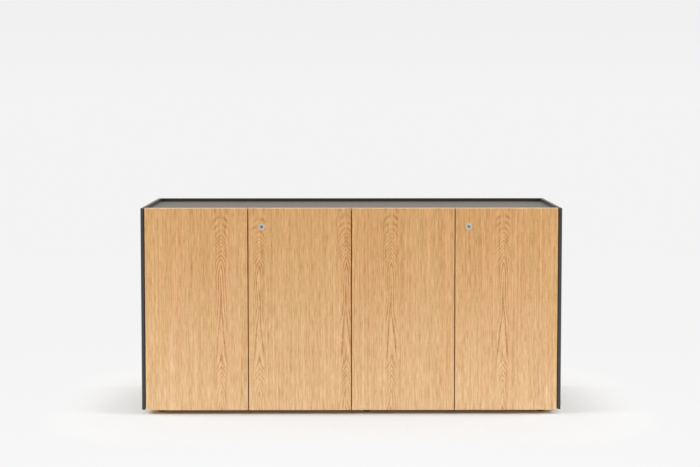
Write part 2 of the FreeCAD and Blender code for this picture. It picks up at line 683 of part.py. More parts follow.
def catch_housing(left_door):
    """A moulded housing under the top, with a screwed tab behind it."""
    half = CATCH_WIDTH / 2
    x = (catch_x(left_door) - half, catch_x(left_door) + half)
    body = box(x, (CATCH_FRONT_Y, CATCH_BACK_Y), (TOP_UNDER_Z - CATCH_HEIGHT, TOP_UNDER_Z))
    tab_y = (CATCH_FRONT_Y, CATCH_BACK_Y + CATCH_TAB_LENGTH)
    tab = box(x, tab_y, (TOP_UNDER_Z - CATCH_TAB_THICKNESS, TOP_UNDER_Z))
    front_step = box(x, (CATCH_FRONT_Y, CARCASS_FRONT_Y), (TOP_UNDER_Z - EDGE_RADIUS, TOP_UNDER_Z))
    holes = [screw.hole for screw in catch_screws(left_door)]
    housing = body.fuse(tab).removeSplitter()
    return without(housing, [front_step] + holes + catch_magnets(left_door))


def catch_plate_middle_x(door):
    if door.hinged_left:
        return door.free_x + DOOR_GAP / 2 - CATCH_PLATE_OFFSET
    return door.free_x - DOOR_GAP / 2 + CATCH_PLATE_OFFSET


def catch_plate_screw(door):
    point = Vector(catch_plate_middle_x(door), DOOR_BACK_Y + CATCH_PLATE_THICKNESS, CATCH_MIDDLE_Z)
    return fitting_screw(point, Vector(0, -1, 0), CATCH_PLATE_THICKNESS)


def catch_plate(door):
    """The steel plate on a door that its magnet holds."""
    x = catch_plate_middle_x(door)
    half_width = CATCH_PLATE_WIDTH / 2
    half_height = CATCH_PLATE_HEIGHT / 2
    y = (DOOR_BACK_Y, DOOR_BACK_Y + CATCH_PLATE_THICKNESS)
    z = (CATCH_MIDDLE_Z - half_height, CATCH_MIDDLE_Z + half_height)
    return box((x - half_width, x + half_width), y, z).cut(catch_plate_screw(door).hole)


def door_bumpers(doors):
    """Rubber buttons on the bottom panel's front edge, each under one door's free corner."""
    height = CARCASS_FLOOR_GAP + PANEL_THICKNESS / 2
    buttons = []
    for door in doors:
        x = door.free_x - door.along * BUMPER_INSET
        tip = Vector(x, DOOR_BACK_Y + BUMPER_GAP, height)
        buttons.append(rod(BUMPER_RADIUS, tip, Vector(x, CARCASS_FRONT_Y, height)))
    return buttons


# Doors

def door_screws(door):
    """Every screw in a door: hinge cups, catch plate and, beside a lock, the lip."""
    screws = [catch_plate_screw(door)]
    if not door.locks:
        screws += lock_lip_screws(door)
    return screws


def placed_cup_screws(door):
    """The hinge cups' screws as pairs of solid and hole, in place on the door."""
    return [
        (door.place(screw.solid.copy(), height), door.place(screw.hole.copy(), height))
        for height in HINGE_HEIGHTS for screw in cup_screws()
    ]


def door_panel(door):
    """The veneered leaf with its hinge pockets, screw holes and lock bore."""
    leaf = eased_panel((door.left, door.right), (FRONT_Y, DOOR_BACK_Y), (DOOR_FLOOR_GAP, CASE_HEIGHT))
    cutters = [door.place(hinge_pocket(door), height) for height in HINGE_HEIGHTS]
    cutters += [hole for _, hole in placed_cup_screws(door)]
    cutters += [screw.hole for screw in door_screws(door)]
    if door.locks:
        cutters.append(lock_rod(door, LOCK_BARREL_RADIUS, -OVERRUN, DOOR_THICKNESS + OVERRUN))
    return without(leaf, cutters)


# Levelling feet

def foot_places():
    """Name and position of each foot."""
    side = SIDE_X - FOOT_SIDE_INSET
    columns = (("left", -side), ("middle", FOOT_MIDDLE_OFFSET), ("right", side))
    rows = (("front", FRONT_Y + FOOT_FRONT_INSET), ("back", BACK_Y - FOOT_FRONT_INSET))
    return [(f"foot_{row}_{column}", x, y) for row, y in rows for column, x in columns]


def foot(x, y):
    """A foot: a tapered base, a hexagon to turn it by, and a stem up into its socket."""
    base = Part.makeCone(FOOT_BASE_RADIUS, FOOT_BASE_RADIUS - FOOT_BASE_TAPER, FOOT_BASE_HEIGHT)
    corners = [Vector(FOOT_HEX_RADIUS, 0, FOOT_BASE_HEIGHT)]
    turn = FreeCAD.Rotation(Vector(0, 0, 1), 60)
    for _ in range(6):
        corners.append(turn.multVec(corners[-1]))
    hexagon = Part.Face(Part.makePolygon(corners)).extrude(Vector(0, 0, FOOT_HEX_HEIGHT))
    stem_top = BOTTOM_TOP_Z - SOCKET_SKIN - FOOT_STEM_END_CLEARANCE
    stem_base = FOOT_BASE_HEIGHT + FOOT_HEX_HEIGHT
    stem = Part.makeCylinder(FOOT_STEM_RADIUS, stem_top - stem_base, Vector(0, 0, stem_base))
    whole = base.fuse([hexagon, stem])
    whole.translate(Vector(x, y, 0))
    return whole


def socket_outline(x, y):
    """A socket without its bore: a flange under the bottom panel and a barrel up into it."""
    start = Vector(x, y, CARCASS_FLOOR_GAP - SOCKET_FLANGE_THICKNESS)
    joint = Vector(x, y, CARCASS_FLOOR_GAP)
    end = Vector(x, y, BOTTOM_TOP_Z - SOCKET_SKIN)
    return rod(SOCKET_FLANGE_RADIUS, start, joint).fuse(rod(SOCKET_BARREL_RADIUS, joint, end))


def foot_socket(x, y):
    start = Vector(x, y, 0)
    end = Vector(x, y, BOTTOM_TOP_Z - SOCKET_SKIN)
    return socket_outline(x, y).cut(rod(FOOT_STEM_RADIUS + FOOT_THREAD_CLEARANCE, start, end))


# Case

def side_cladding(side):
    y = (FRONT_Y, BACK_Y)
    panel = eased_panel((side * CARCASS_OUTER_X, side * SIDE_X), y, (CLADDING_FLOOR_GAP, CASE_HEIGHT))
    return without(panel, [screw.hole for screw in cladding_screws(side)])


def back_cladding():
    x = (-CARCASS_OUTER_X, CARCASS_OUTER_X)
    panel = box(x, (CARCASS_BACK_Y, BACK_Y), (CLADDING_FLOOR_GAP, CASE_HEIGHT))
    long_edges = [edge for edge in panel.Edges if edge.BoundBox.XLength > CARCASS_OUTER_X]
    return without(panel.makeFillet(EDGE_RADIUS, long_edges), [screw.hole for screw in back_screws()])


def carcass_side(side, doors):
    x = (side * CARCASS_INNER_X, side * CARCASS_OUTER_X)
    panel = box(x, (CARCASS_FRONT_Y, CARCASS_BACK_Y), (CARCASS_FLOOR_GAP, TOP_UNDER_Z))
    door = doors[0] if side < 0 else doors[-1]
    cutters = dowel_holes("bottom_left" if side < 0 else "bottom_right", "top")
    cutters += [screw.hole for screw in cladding_screws(side) + back_screws()]
    cutters += shelf_holes(side * CARCASS_INNER_X)
    cutters += placed_plate_holes(door)
    return without(panel, cutters)


def carcass_bottom():
    x = (-CARCASS_INNER_X, CARCASS_INNER_X)
    panel = box(x, (CARCASS_FRONT_Y, CARCASS_BACK_Y), (CARCASS_FLOOR_GAP, BOTTOM_TOP_Z))
    cutters = dowel_holes("bottom_left", "bottom_right", "partition_bottom")
    cutters += [screw.hole for screw in back_screws()]
    cutters += [socket_outline(x, y) for _, x, y in foot_places()]
    return without(panel, cutters)


def carcass_top(doors):
    x = (-CARCASS_OUTER_X, CARCASS_OUTER_X)
    panel = box(x, (CARCASS_FRONT_Y, CARCASS_BACK_Y), (TOP_UNDER_Z, TOP_Z))
    cutters = dowel_holes("top") + [screw.hole for screw in back_screws()]
    for door in doors:
        screws = cam_strike_screws(door) if door.locks else catch_screws(door)
        cutters += [screw.hole for screw in screws]
    return without(panel, cutters)


def centre_partition(doors):
    half = PANEL_THICKNESS / 2
    panel = box((-half, half), (CARCASS_FRONT_Y, CARCASS_BACK_Y), (BOTTOM_TOP_Z, TOP_UNDER_Z))
    cutters = dowel_holes("partition_bottom", "top") + [screw.hole for screw in back_screws()]
    cutters += shelf_holes(-half) + shelf_holes(half)
    for door in doors:
        if not door.outer:
            cutters += placed_plate_holes(door)
    return without(panel, cutters)


def placed_plate_holes(door):
    """Holes that a door's mounting plates need in the panel that carries them."""
    return [
        door.place(screw.hole.copy(), height)
        for height in HINGE_HEIGHTS for screw in plate_screws(door)
    ]


# Nodes

def case_nodes(doors):
    return {
        "side_cladding_left": [side_cladding(-1)],
        "side_cladding_right": [side_cladding(1)],
        "back_cladding": [back_cladding()],
        "carcass_side_left": [carcass_side(-1, doors)],
        "carcass_side_right": [carcass_side(1, doors)],
        "carcass_bottom": [carcass_bottom()],
        "carcass_top": [carcass_top(doors)],
        "centre_partition": [centre_partition(doors)],
        "shelf_left": [shelf(-1)],
        "shelf_right": [shelf(1)],
        "shelf_pins": shelf_pins(),
        "dowels": dowels(),
        "panel_screws": [
            screw.solid for screw in cladding_screws(-1) + cladding_screws(1) + back_screws()
        ],
    }


def at_each_hinge(doors, make):
    """One piece for every hinge of the given doors, in place."""
    return [door.place(make(door), height) for door in doors for height in HINGE_HEIGHTS]


def fitting_nodes(doors):
    outer = [door for door in doors if door.outer]
    inner = [door for door in doors if not door.outer]
    left_doors = [door for door in doors if not door.locks]
    locked_doors = [door for door in doors if door.locks]
    screws = [
        door.place(screw.solid.copy(), height)
        for door in doors for height in HINGE_HEIGHTS for screw in plate_screws(door)
    ]
    for door in left_doors:
        screws += [screw.solid for screw in catch_screws(door)]
    for door in locked_doors:
        screws += [screw.solid for screw in cam_strike_screws(door)]
    return {
        "hinge_plates": at_each_hinge(doors, hinge_plate),
        "hinge_arms_outer": at_each_hinge(outer, hinge_arm),
        "hinge_arms_inner": at_each_hinge(inner, hinge_arm),
        "hinge_pins": at_each_hinge(doors, lambda door: hinge_pin()),
        "hinge_clamp_screws": at_each_hinge(doors, slotted_clamp_screw),
        "fitting_screws": screws,
        "catch_housings": [catch_housing(door) for door in left_doors],
        "catch_magnets": [magnet for door in left_doors for magnet in catch_magnets(door)],
        "cam_strikes": [cam_strike(door) for door in locked_doors],
        "door_bumpers": door_bumpers(doors),
        "foot_sockets": [foot_socket(x, y) for _, x, y in foot_places()],
    }


def door_nodes(door):
    screws = [solid for solid, _ in placed_cup_screws(door)]
    screws += [screw.solid for screw in door_screws(door)]
    nodes = {
        f"{door.name}_panel": [door_panel(door)],
        f"{door.name}_hinge_cups": at_each_hinge([door], hinge_cup),
        f"{door.name}_screws": screws,
        f"{door.name}_catch_plate": [catch_plate(door)],
    }
    if door.locks:
        lock = door.name.replace("door", "lock")
        nodes[f"{lock}_housing"] = [lock_housing(door)]
        nodes[f"{lock}_nut"] = [lock_nut(door)]
        nodes[f"{lock}_plug"] = [lock_plug(door)]
        nodes[f"{lock}_cam"] = [lock_cam(door)]
        nodes[f"{lock}_cam_screw"] = [cam_screw(door)]
    else:
        nodes[f"{door.name}_lock_lip"] = [lock_lip(door)]
    return nodes


def main():
    doors = [Door(index) for index in range(DOOR_COUNT)]
    nodes = case_nodes(doors) | fitting_nodes(doors)
    for door in doors:
        nodes |= door_nodes(door)
    for name, x, y in foot_places():
        nodes[name] = [foot(x, y)]
    os.makedirs("parts", exist_ok=True)
    for name, solids in nodes.items():
        shape = solids[0] if len(solids) == 1 else Part.makeCompound(solids)
        shape.exportStep(f"parts/{name}.step")


main()
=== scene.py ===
"""Office credenza with four oak veneered doors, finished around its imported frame.

The file is laid out as an add-on: property groups hold the sizes and colours a user would
change, each operator finishes one group of like pieces, and a panel in the 3D view's sidebar
lists them. Run as a script, main() calls the operators in order. Lengths are in metres unless a
name ends in _MM, +Z is up, the doors face -Y and +X runs to their right.
"""
import math

import bpy
import numpy as np
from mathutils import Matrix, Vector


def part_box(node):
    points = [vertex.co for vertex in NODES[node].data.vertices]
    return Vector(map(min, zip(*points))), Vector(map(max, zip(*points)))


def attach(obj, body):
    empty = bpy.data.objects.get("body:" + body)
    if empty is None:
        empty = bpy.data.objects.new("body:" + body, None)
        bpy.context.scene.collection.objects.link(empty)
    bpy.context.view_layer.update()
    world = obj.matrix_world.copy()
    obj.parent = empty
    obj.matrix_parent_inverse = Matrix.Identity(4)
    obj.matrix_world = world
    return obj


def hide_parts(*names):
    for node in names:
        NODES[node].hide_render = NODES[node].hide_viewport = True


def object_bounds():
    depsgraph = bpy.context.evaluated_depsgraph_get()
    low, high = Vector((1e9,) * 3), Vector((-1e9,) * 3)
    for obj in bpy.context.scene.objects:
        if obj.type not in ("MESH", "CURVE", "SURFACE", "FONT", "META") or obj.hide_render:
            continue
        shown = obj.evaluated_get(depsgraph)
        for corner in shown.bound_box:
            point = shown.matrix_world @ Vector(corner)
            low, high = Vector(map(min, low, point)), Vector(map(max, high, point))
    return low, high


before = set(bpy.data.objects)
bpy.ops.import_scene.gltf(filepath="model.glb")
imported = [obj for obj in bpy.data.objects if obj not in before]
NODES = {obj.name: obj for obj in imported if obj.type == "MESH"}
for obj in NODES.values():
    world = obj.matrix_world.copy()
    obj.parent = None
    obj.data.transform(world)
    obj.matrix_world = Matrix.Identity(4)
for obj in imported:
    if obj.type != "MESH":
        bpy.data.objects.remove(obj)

CAD_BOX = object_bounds()

bl_info = {
    "name": "Office credenza",
    "version": (1, 0, 0),
    "blender": (4, 5, 0),
    "location": "3D View > Sidebar > Credenza",
    "description": "Finishes, locks, feet and studio of an office credenza with veneered doors",
    "category": "Object",
}

MM = 0.001

DOOR_NUMBERS = (1, 2, 3, 4)
LOCKED_DOORS = (2, 4)
FOOT_NAMES = tuple(
    f"foot_{row}_{place}" for row in ("front", "back") for place in ("left", "middle", "right")
)


# Colours, nodes and materials

def colour(hex_code):
    """A written sRGB colour as linear red, green and blue: above 0.04045 each channel c becomes
    ((c + 0.055) / 1.055) to the power 2.4, and below it c / 12.92."""
    channels = [int(hex_code[i:i + 2], 16) / 255 for i in (1, 3, 5)]
    return tuple(
        ((c + 0.055) / 1.055) ** 2.4 if c > 0.04045 else c / 12.92 for c in channels
    )


def add(tree, kind, inputs=(), stops=None, curve=None, **settings):
    """Adds one shader node. Its inputs come in the order of its sockets, or by socket name or
    number. A socket is linked, a node is linked by its first output in use, and anything else is
    set. Stops are a colour ramp's (place, colour) and curve a float curve's points."""
    node = tree.nodes.new("ShaderNode" + kind)
    for name, value in settings.items():
        setattr(node, name, value)
    for key, value in inputs.items() if isinstance(inputs, dict) else enumerate(inputs):
        socket = node.inputs[key]
        if isinstance(value, bpy.types.Node):
            value = next(output for output in value.outputs if output.enabled)
        if isinstance(value, bpy.types.NodeSocket):
            tree.links.new(value, socket)
        else:
            socket.default_value = (*value, 1.0) if socket.type == "RGBA" else value
    if stops:
        elements = node.color_ramp.elements
        while len(elements) < len(stops):
            elements.new(1.0)
        for element, (place, value) in zip(elements, stops):
            element.position = place
            element.color = (*value, 1.0)
    if curve:
        line = node.mapping.curves[0]
        while len(line.points) < len(curve):
            line.points.new(1.0, 1.0)
        for point, place in zip(line.points, curve):
            point.location = place
        node.mapping.update()
    return node


def new_material(name):
    """A new material, its emptied node tree and its Object coordinates."""
    material = bpy.data.materials.new(name)
    material.use_nodes = True
    tree = material.node_tree
    tree.nodes.clear()
    return material, tree, add(tree, "TexCoord").outputs["Object"]


def finish_material(tree, **inputs):
    """Closes a material with the Principled shader; underscores in a name stand for spaces."""
    sockets = {name.replace("_", " ").title(): value for name, value in inputs.items()}
    add(tree, "OutputMaterial", (add(tree, "BsdfPrincipled", sockets),))


def mottle(tree, place, sizes_mm, detail=0.0, seed=0.0):
    """Random values from 0 to 1 in spots of the given sizes in millimetres along x, y and z."""
    scale = tuple(1 / (size * MM) for size in sizes_mm)
    mapped = add(tree, "Mapping", {"Vector": place, "Scale": scale, "Location": (seed,) * 3})
    return add(tree, "TexNoise", {"Vector": mapped, "Scale": 1.0, "Detail": detail,
                                  "Roughness": 0.6})


def dress(node_name, material):
    """Gives a CAD node a finish in place of its plain one."""
    for material_slot in NODES[node_name].material_slots:
        material_slot.material = material


# Settings that a user would change

def tone_setting(hex_code, name, description):
    """A colour among the settings."""
    return bpy.props.FloatVectorProperty(
        name=name, description=description, default=colour(hex_code), min=0, max=1,
        subtype="COLOR")


def length_setting(size_mm, low_mm, high_mm, name, description):
    """A length among the settings, with its least and greatest size."""
    return bpy.props.FloatProperty(
        name=name, description=description, default=size_mm * MM, min=low_mm * MM,
        max=high_mm * MM, subtype="DISTANCE", unit="LENGTH")


class OakSettings(bpy.types.PropertyGroup):
    dark_tone: tone_setting(
        "#C18B50", "Dark tone", "Open pores and growth ring lines of the oak veneer")
    middle_tone: tone_setting(
        "#E6BE8E", "Middle tone", "Plain wood of the oak veneer under matt lacquer")
    line_tone: tone_setting(
        "#B4703A", "Ring line tone", "Rows of open pores along the growth rings")
    light_tone: tone_setting(
        "#FFE1B8", "Light tone", "Dense pale wood between the growth rings")
    # The two band tones are lit and shaded copies of one edge band: pale on the lying edges as a
    # painted highlight, deeper honey on the upright edges as painted shade.
    painted_lit_band_tone: tone_setting(
        "#FFF4E2", "Top edge tone", "Pale sealed edge band along a door's top and bottom")
    painted_shaded_band_tone: tone_setting(
        "#B97E3C", "Side edge tone", "Honey edge band up a door's sides")
    # The arris line is the edge bands' own thickness, drawn darker as painted shade of the gaps
    # between the doors.
    arris_and_gap_shade_tone: tone_setting(
        "#86480C", "Arris tone", "The edge bands' own thickness, seen from the front")
    arris_and_gap_shade_width: length_setting(
        0.7, 0.0, 3.0, "Arris width", "Thickness of the edge bands up a door's sides")
    figure_contrast: bpy.props.FloatProperty(
        name="Figure contrast", description="How strongly the cathedral figure shows",
        default=0.70, min=0, max=2, subtype="FACTOR")


class BoardSettings(bpy.types.PropertyGroup):
    tone: tone_setting(
        "#333130", "Board tone", "Graphite melamine of the case")
    pale_tone: tone_setting(
        "#3B3938", "Pale speck tone", "Lighter specks in the graphite melamine")
    roughness: bpy.props.FloatProperty(
        name="Board roughness", description="Sheen of the melamine: lower is glossier",
        default=0.42, min=0, max=1, subtype="FACTOR")


class FittingSettings(bpy.types.PropertyGroup):
    lock_face_recess: length_setting(
        0.8, 0.0, 1.2, "Lock core recess", "How far the lock's core sits behind its rim")
    keyway_width: length_setting(1.6, 0.8, 2.4, "Keyway width", "Width of the key's slot")
    keyway_height: length_setting(8.0, 5.0, 10.0, "Keyway height", "Height of the key's slot")
    foot_rib_count: bpy.props.IntProperty(
        name="Foot ribs", description="Grip ribs round a levelling foot", default=24, min=8, max=48)


class StudioSettings(bpy.types.PropertyGroup):
    floor_tone: tone_setting(
        "#F8F8F8", "Floor tone", "Pale floor in front of the object")
    matt_floor_tone: tone_setting(
        "#E8E7E5", "Matt floor tone", "Pale floor where it takes the object's shadow")
    # A painted warm tint, with a faint glow, standing for the doors' reflected light on the floor
    # under their front edge.
    painted_bounce_floor_tone: tone_setting(
        "#ECC096", "Floor tone under the object", "Floor where only warm, reflected light falls")
    backdrop_tone: tone_setting(
        "#F3F3F3", "Backdrop tone", "Pale backdrop behind the object")
    overhead_tone: tone_setting(
        "#E2E2E2", "Overhead tone", "The backdrop's tone high above the object")
    camera_place: bpy.props.FloatVectorProperty(
        name="Camera place", description="Where the camera stands",
        subtype="TRANSLATION", unit="LENGTH", default=(-0.026, -4.5488, 1.2461))
    camera_yaw: bpy.props.FloatProperty(
        name="Camera yaw", description="Turn of the camera to its right",
        subtype="ANGLE", unit="ROTATION", default=math.radians(0.267))
    camera_pitch: bpy.props.FloatProperty(
        name="Camera pitch", description="How far the camera looks down",
        subtype="ANGLE", unit="ROTATION", default=math.radians(2.741))
    lens: bpy.props.FloatProperty(
        name="Lens", description="Focal length on a 36 mm sensor", default=57.56, min=20, max=200)
    shift: bpy.props.FloatProperty(
        name="Lens shift", description="Vertical shift of the lens", default=-0.12)


# Oak veneer

GRAIN_FACE_Y = -0.21525
EDGE_GRAIN_STRETCH = 1.3
EDGE_FACING = 0.7
DOOR_TOP_MM = 810.0
MEAN_TONE = 0.53
FIGURE_ROWS_MM = 1640.0
FIGURE_LENGTH_MM = 800.0
FIGURE_RINGS = 24.0
FIGURE_WANDER_MM = 14.0
FIGURE_WAVE_MM = 20.0
WIDEST_SPACING_MM = 40.0
REACH_MM = 100.0

# Where each crown of the figure stands across the four doors: its middle, how far its pattern is
# shifted down, and how wide it is against the others. Each pair is split half way between.
FIGURE_CROWNS = (
    (-509.0, 8.0, 1.0),
    (-360.0, 14.0, 0.9),
    (-21.0, 2.0, 0.95),
    (154.5, 3.0, 1.0),
    (592.0, 0.0, 0.95),
)
CROWN_SHIFT_RANGE_MM = 100.0

# Growth rings passed from the top of a crown down, over the figure's length: one broad arch, open
# chevrons, a long narrow flame, a second crown and its own flame.
FIGURE_RING_CURVE = (
    (0, 0.000), (0.0125, 0.004), (0.04375, 0.034), (0.0775, 0.075), (0.1062, 0.115),
    (0.1375, 0.173), (0.2375, 0.375), (0.2687, 0.421), (0.3125, 0.452), (0.375, 0.462),
    (0.5, 0.477), (0.5475, 0.484), (0.6687, 0.497), (0.7375, 0.513), (0.7625, 0.537),
    (0.8125, 0.621), (0.8625, 0.692), (0.925, 0.737), (0.9625, 0.750), (1, 0.783),
)
# Distance between neighbouring rings across the figure, over the widest: lines are upright where
# rings come slowly and close, and open into chevrons where they come fast and wide.
FIGURE_SPACING_CURVE = (
    (0, 0.700), (0.0775, 0.700), (0.1062, 0.500), (0.1375, 0.338), (0.2375, 0.312),
    (0.275, 0.250), (0.325, 0.212), (0.5, 0.225), (0.5475, 0.287), (0.6687, 0.425),
    (0.7288, 0.425), (0.775, 0.300), (0.875, 0.275), (0.925, 0.250), (1, 0.250),
)
# Down the figure: half its width over REACH_MM / 2, strength, and rounding of the apexes over
# REACH_MM.
FIGURE_REACH = (
    (0, (0.56, 0.95, 0.14)), (0.075, (0.58, 1.00, 0.14)), (0.1125, (0.56, 0.50, 0.06)),
    (0.14, (0.56, 0.50, 0.01)), (0.2375, (0.50, 0.62, 0.01)), (0.29, (0.38, 0.95, 0.01)),
    (0.5, (0.34, 0.90, 0.02)), (0.6, (0.40, 0.95, 0.02)), (0.7, (0.42, 1.00, 0.04)),
    (0.7625, (0.38, 0.60, 0.02)), (0.875, (0.36, 0.42, 0.01)), (0.94, (0.36, 0.45, 0.02)),
    (1, (0.36, 0.85, 0.02)),
)

# Tints from the foot of a leaf, at 0, to its crown, at 1, that leave it paler towards the foot and
# deeper and yellower towards the crown, as painted light from the bright floor below; and tints
# across its pink and yellow bands.
PAINTED_FLOOR_LIGHT_DRIFT = (
    (0.02, (1.0, 1.0, 1.0)), (0.07, (0.965, 0.962, 0.945)), (0.17, (0.921, 0.890, 0.835)),
    (0.27, (0.902, 0.848, 0.772)), (0.46, (0.888, 0.821, 0.712)),
    (0.65, (0.907, 0.811, 0.677)), (0.85, (0.930, 0.810, 0.640)), (1.0, (0.967, 0.829, 0.639)),
)
HUE_LEAN = (
    (0.36, (1.0, 0.962, 0.985)), (0.5, (0.985, 0.98, 0.975)), (0.64, (0.970, 0.990, 0.950)),
)


def crown_stops():
    """Constant steps of (middle, shift, width) as red, green and blue along the doors' width."""
    stops = []
    edge = 0.0
    for index, (middle, shift, width) in enumerate(FIGURE_CROWNS):
        values = (middle / FIGURE_ROWS_MM + 0.5, shift / CROWN_SHIFT_RANGE_MM, width / 2)
        stops.append((edge, values))
        if index + 1 < len(FIGURE_CROWNS):
            edge = (middle + FIGURE_CROWNS[index + 1][0]) / 2 / FIGURE_ROWS_MM + 0.5
    return stops


def crown_figure(tree, settings, grain, across, z):
    """The column of nested arches, as a share by which a point is darkened.

    A point a mm from a column's middle and s mm below the door's top lies on growth ring
    a / spacing(s) - rings(s). Its fraction is dark at 0 and 1 and pale between them, and fades
    into the straight grain at the column's edge."""
    fraction = add(tree, "Math", (across, 1 / MM / FIGURE_ROWS_MM, 0.5), operation="MULTIPLY_ADD")
    crown = add(tree, "ValToRGB", (fraction,), stops=crown_stops())
    crown.color_ramp.interpolation = "CONSTANT"
    middle, shift, width = add(tree, "SeparateColor", (crown,)).outputs
    wander = mottle(tree, grain, (200, 1000, 170), 1.0, 5.0)
    wander = add(tree, "Math", (wander, 0.5), operation="SUBTRACT")
    offset = add(tree, "Math", (fraction, middle), operation="SUBTRACT")
    offset = add(tree, "Math", (offset, FIGURE_ROWS_MM), operation="MULTIPLY")
    offset = add(tree, "Math", (wander, FIGURE_WANDER_MM, offset), operation="MULTIPLY_ADD")
    below = add(tree, "Math", (z, -1 / MM, DOOR_TOP_MM), operation="MULTIPLY_ADD")
    below = add(tree, "Math", (shift, -CROWN_SHIFT_RANGE_MM, below), operation="MULTIPLY_ADD")
    wave = mottle(tree, grain, (24, 1000, 40), 2.0, 47.0)
    wave = add(tree, "Math", (wave, 0.5), operation="SUBTRACT")
    below = add(tree, "Math", (wave, FIGURE_WAVE_MM, below), operation="MULTIPLY_ADD")
    share = add(tree, "Math", (below, 1 / FIGURE_LENGTH_MM), operation="MULTIPLY")

    # Distance from the column's middle, rounded off at the apexes.
    reach = add(tree, "ValToRGB", (share,), stops=FIGURE_REACH)
    half_width, strength, rounding = add(tree, "SeparateColor", (reach,)).outputs
    rounding = add(tree, "Math", (rounding, REACH_MM), operation="MULTIPLY")
    squared = add(tree, "Math", (rounding, rounding), operation="MULTIPLY")
    away = add(tree, "Math", (offset, offset, squared), operation="MULTIPLY_ADD")
    away = add(tree, "Math", (away,), operation="SQRT")
    half_width = add(tree, "Math", (half_width, width), operation="MULTIPLY")
    half_width = add(tree, "Math", (half_width, REACH_MM), operation="MULTIPLY")
    inside = add(tree, "Math", (away, half_width), operation="DIVIDE")
    inside = add(tree, "MapRange", (inside, 0.75, 1.3, 1.0, 0.0), interpolation_type="SMOOTHSTEP")

    # The growth ring, and the dark line where one ends and the next begins.
    rings = add(tree, "FloatCurve", {"Value": share}, curve=FIGURE_RING_CURVE)
    rings = add(tree, "Math", (rings, -FIGURE_RINGS), operation="MULTIPLY")
    spacing = add(tree, "FloatCurve", {"Value": share}, curve=FIGURE_SPACING_CURVE)
    spacing = add(tree, "Math", (spacing, WIDEST_SPACING_MM), operation="MULTIPLY")
    ring = add(tree, "Math", (away, spacing), operation="DIVIDE")
    ring = add(tree, "Math", (ring, rings), operation="ADD")
    between = add(tree, "Math", (ring, 0.5), operation="PINGPONG")
    line = add(tree, "Math", (between, -2.0, 1.0), operation="MULTIPLY_ADD")
    line = add(tree, "Math", (line, 2.0), operation="POWER")
    # The ring lines are rows of open pores, so they break into short dark ticks.
    ticks = mottle(tree, grain, (2.6, 1000, 9), 1.0, 83.0)
    ticks = add(tree, "MapRange", (ticks, 0.35, 0.65, 0.6, 1.4))
    line = add(tree, "Math", (line, ticks), operation="MULTIPLY")
    # A broad arch is dark at its shoulders and faint over its middle.
    shoulder = add(tree, "Math", (offset, away), operation="DIVIDE")
    slope = add(tree, "Math", (shoulder, -1.0), operation="MULTIPLY")
    faint = add(tree, "Math", (shoulder, slope, 1.0), operation="MULTIPLY_ADD")
    broad = add(tree, "MapRange", (rounding, 4.0, 11.0, 0.0, 0.9))
    faint = add(tree, "Math", (faint, broad), operation="MULTIPLY")
    faint = add(tree, "Math", (1.0, faint), operation="SUBTRACT")
    # Under the arch and along the flames the wood is a little deeper than beside them.
    line = add(tree, "Math", (line, 0.2), operation="SUBTRACT")
    line = add(tree, "Math", (broad, 0.10, line), operation="MULTIPLY_ADD")

    patchy = mottle(tree, grain, (26, 1000, 34), 1.0, 71.0)
    patchy = add(tree, "MapRange", (patchy, 0.3, 0.65, 0.3, 1.35))
    strength = add(tree, "Math", (patchy, strength), operation="MULTIPLY")
    for factor in (faint, inside, strength, settings.figure_contrast):
        line = add(tree, "Math", (line, factor), operation="MULTIPLY")
    return line


def edge_bands(tree, settings, wood, x, lying, upright):
    """The wood's colour on the faces, and the edge bands' round them: one band painted pale on the
    lying edges as a painted highlight and honey on the upright ones as painted shade, and their own
    dark thickness where they meet the faces, darkened as painted shade of the gaps."""
    # The bands carry the streaks only faintly.
    # Painted highlight on the lying edges, painted shade on the upright ones.
    band = add(tree, "Mix", {0: lying, 6: settings.painted_shaded_band_tone, 7: settings.painted_lit_band_tone},
               data_type="RGBA")
    band = add(tree, "Mix", {0: 0.1, 6: band, 7: wood}, data_type="RGBA")
    edge = add(tree, "Math", (lying, upright), operation="MAXIMUM")
    # Doors repeat along x, so the distance to the nearest gap's middle is a triangle wave of it.
    half_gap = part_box("door_3_panel")[0].x
    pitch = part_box("door_4_panel")[0].x - half_gap
    from_gap = add(tree, "Math", (x, pitch / 2), operation="PINGPONG")
    # A thin dark line on each face beside a gap: the edge band's thickness, darkened as painted
    # shade of the gap.
    arris_and_gap_shade = add(tree, "Math", (from_gap, half_gap + settings.arris_and_gap_shade_width), operation="LESS_THAN")
    face = add(tree, "Mix", {0: arris_and_gap_shade, 6: wood, 7: settings.arris_and_gap_shade_tone}, data_type="RGBA")
    return add(tree, "Mix", {0: edge, 6: face, 7: band}, data_type="RGBA")


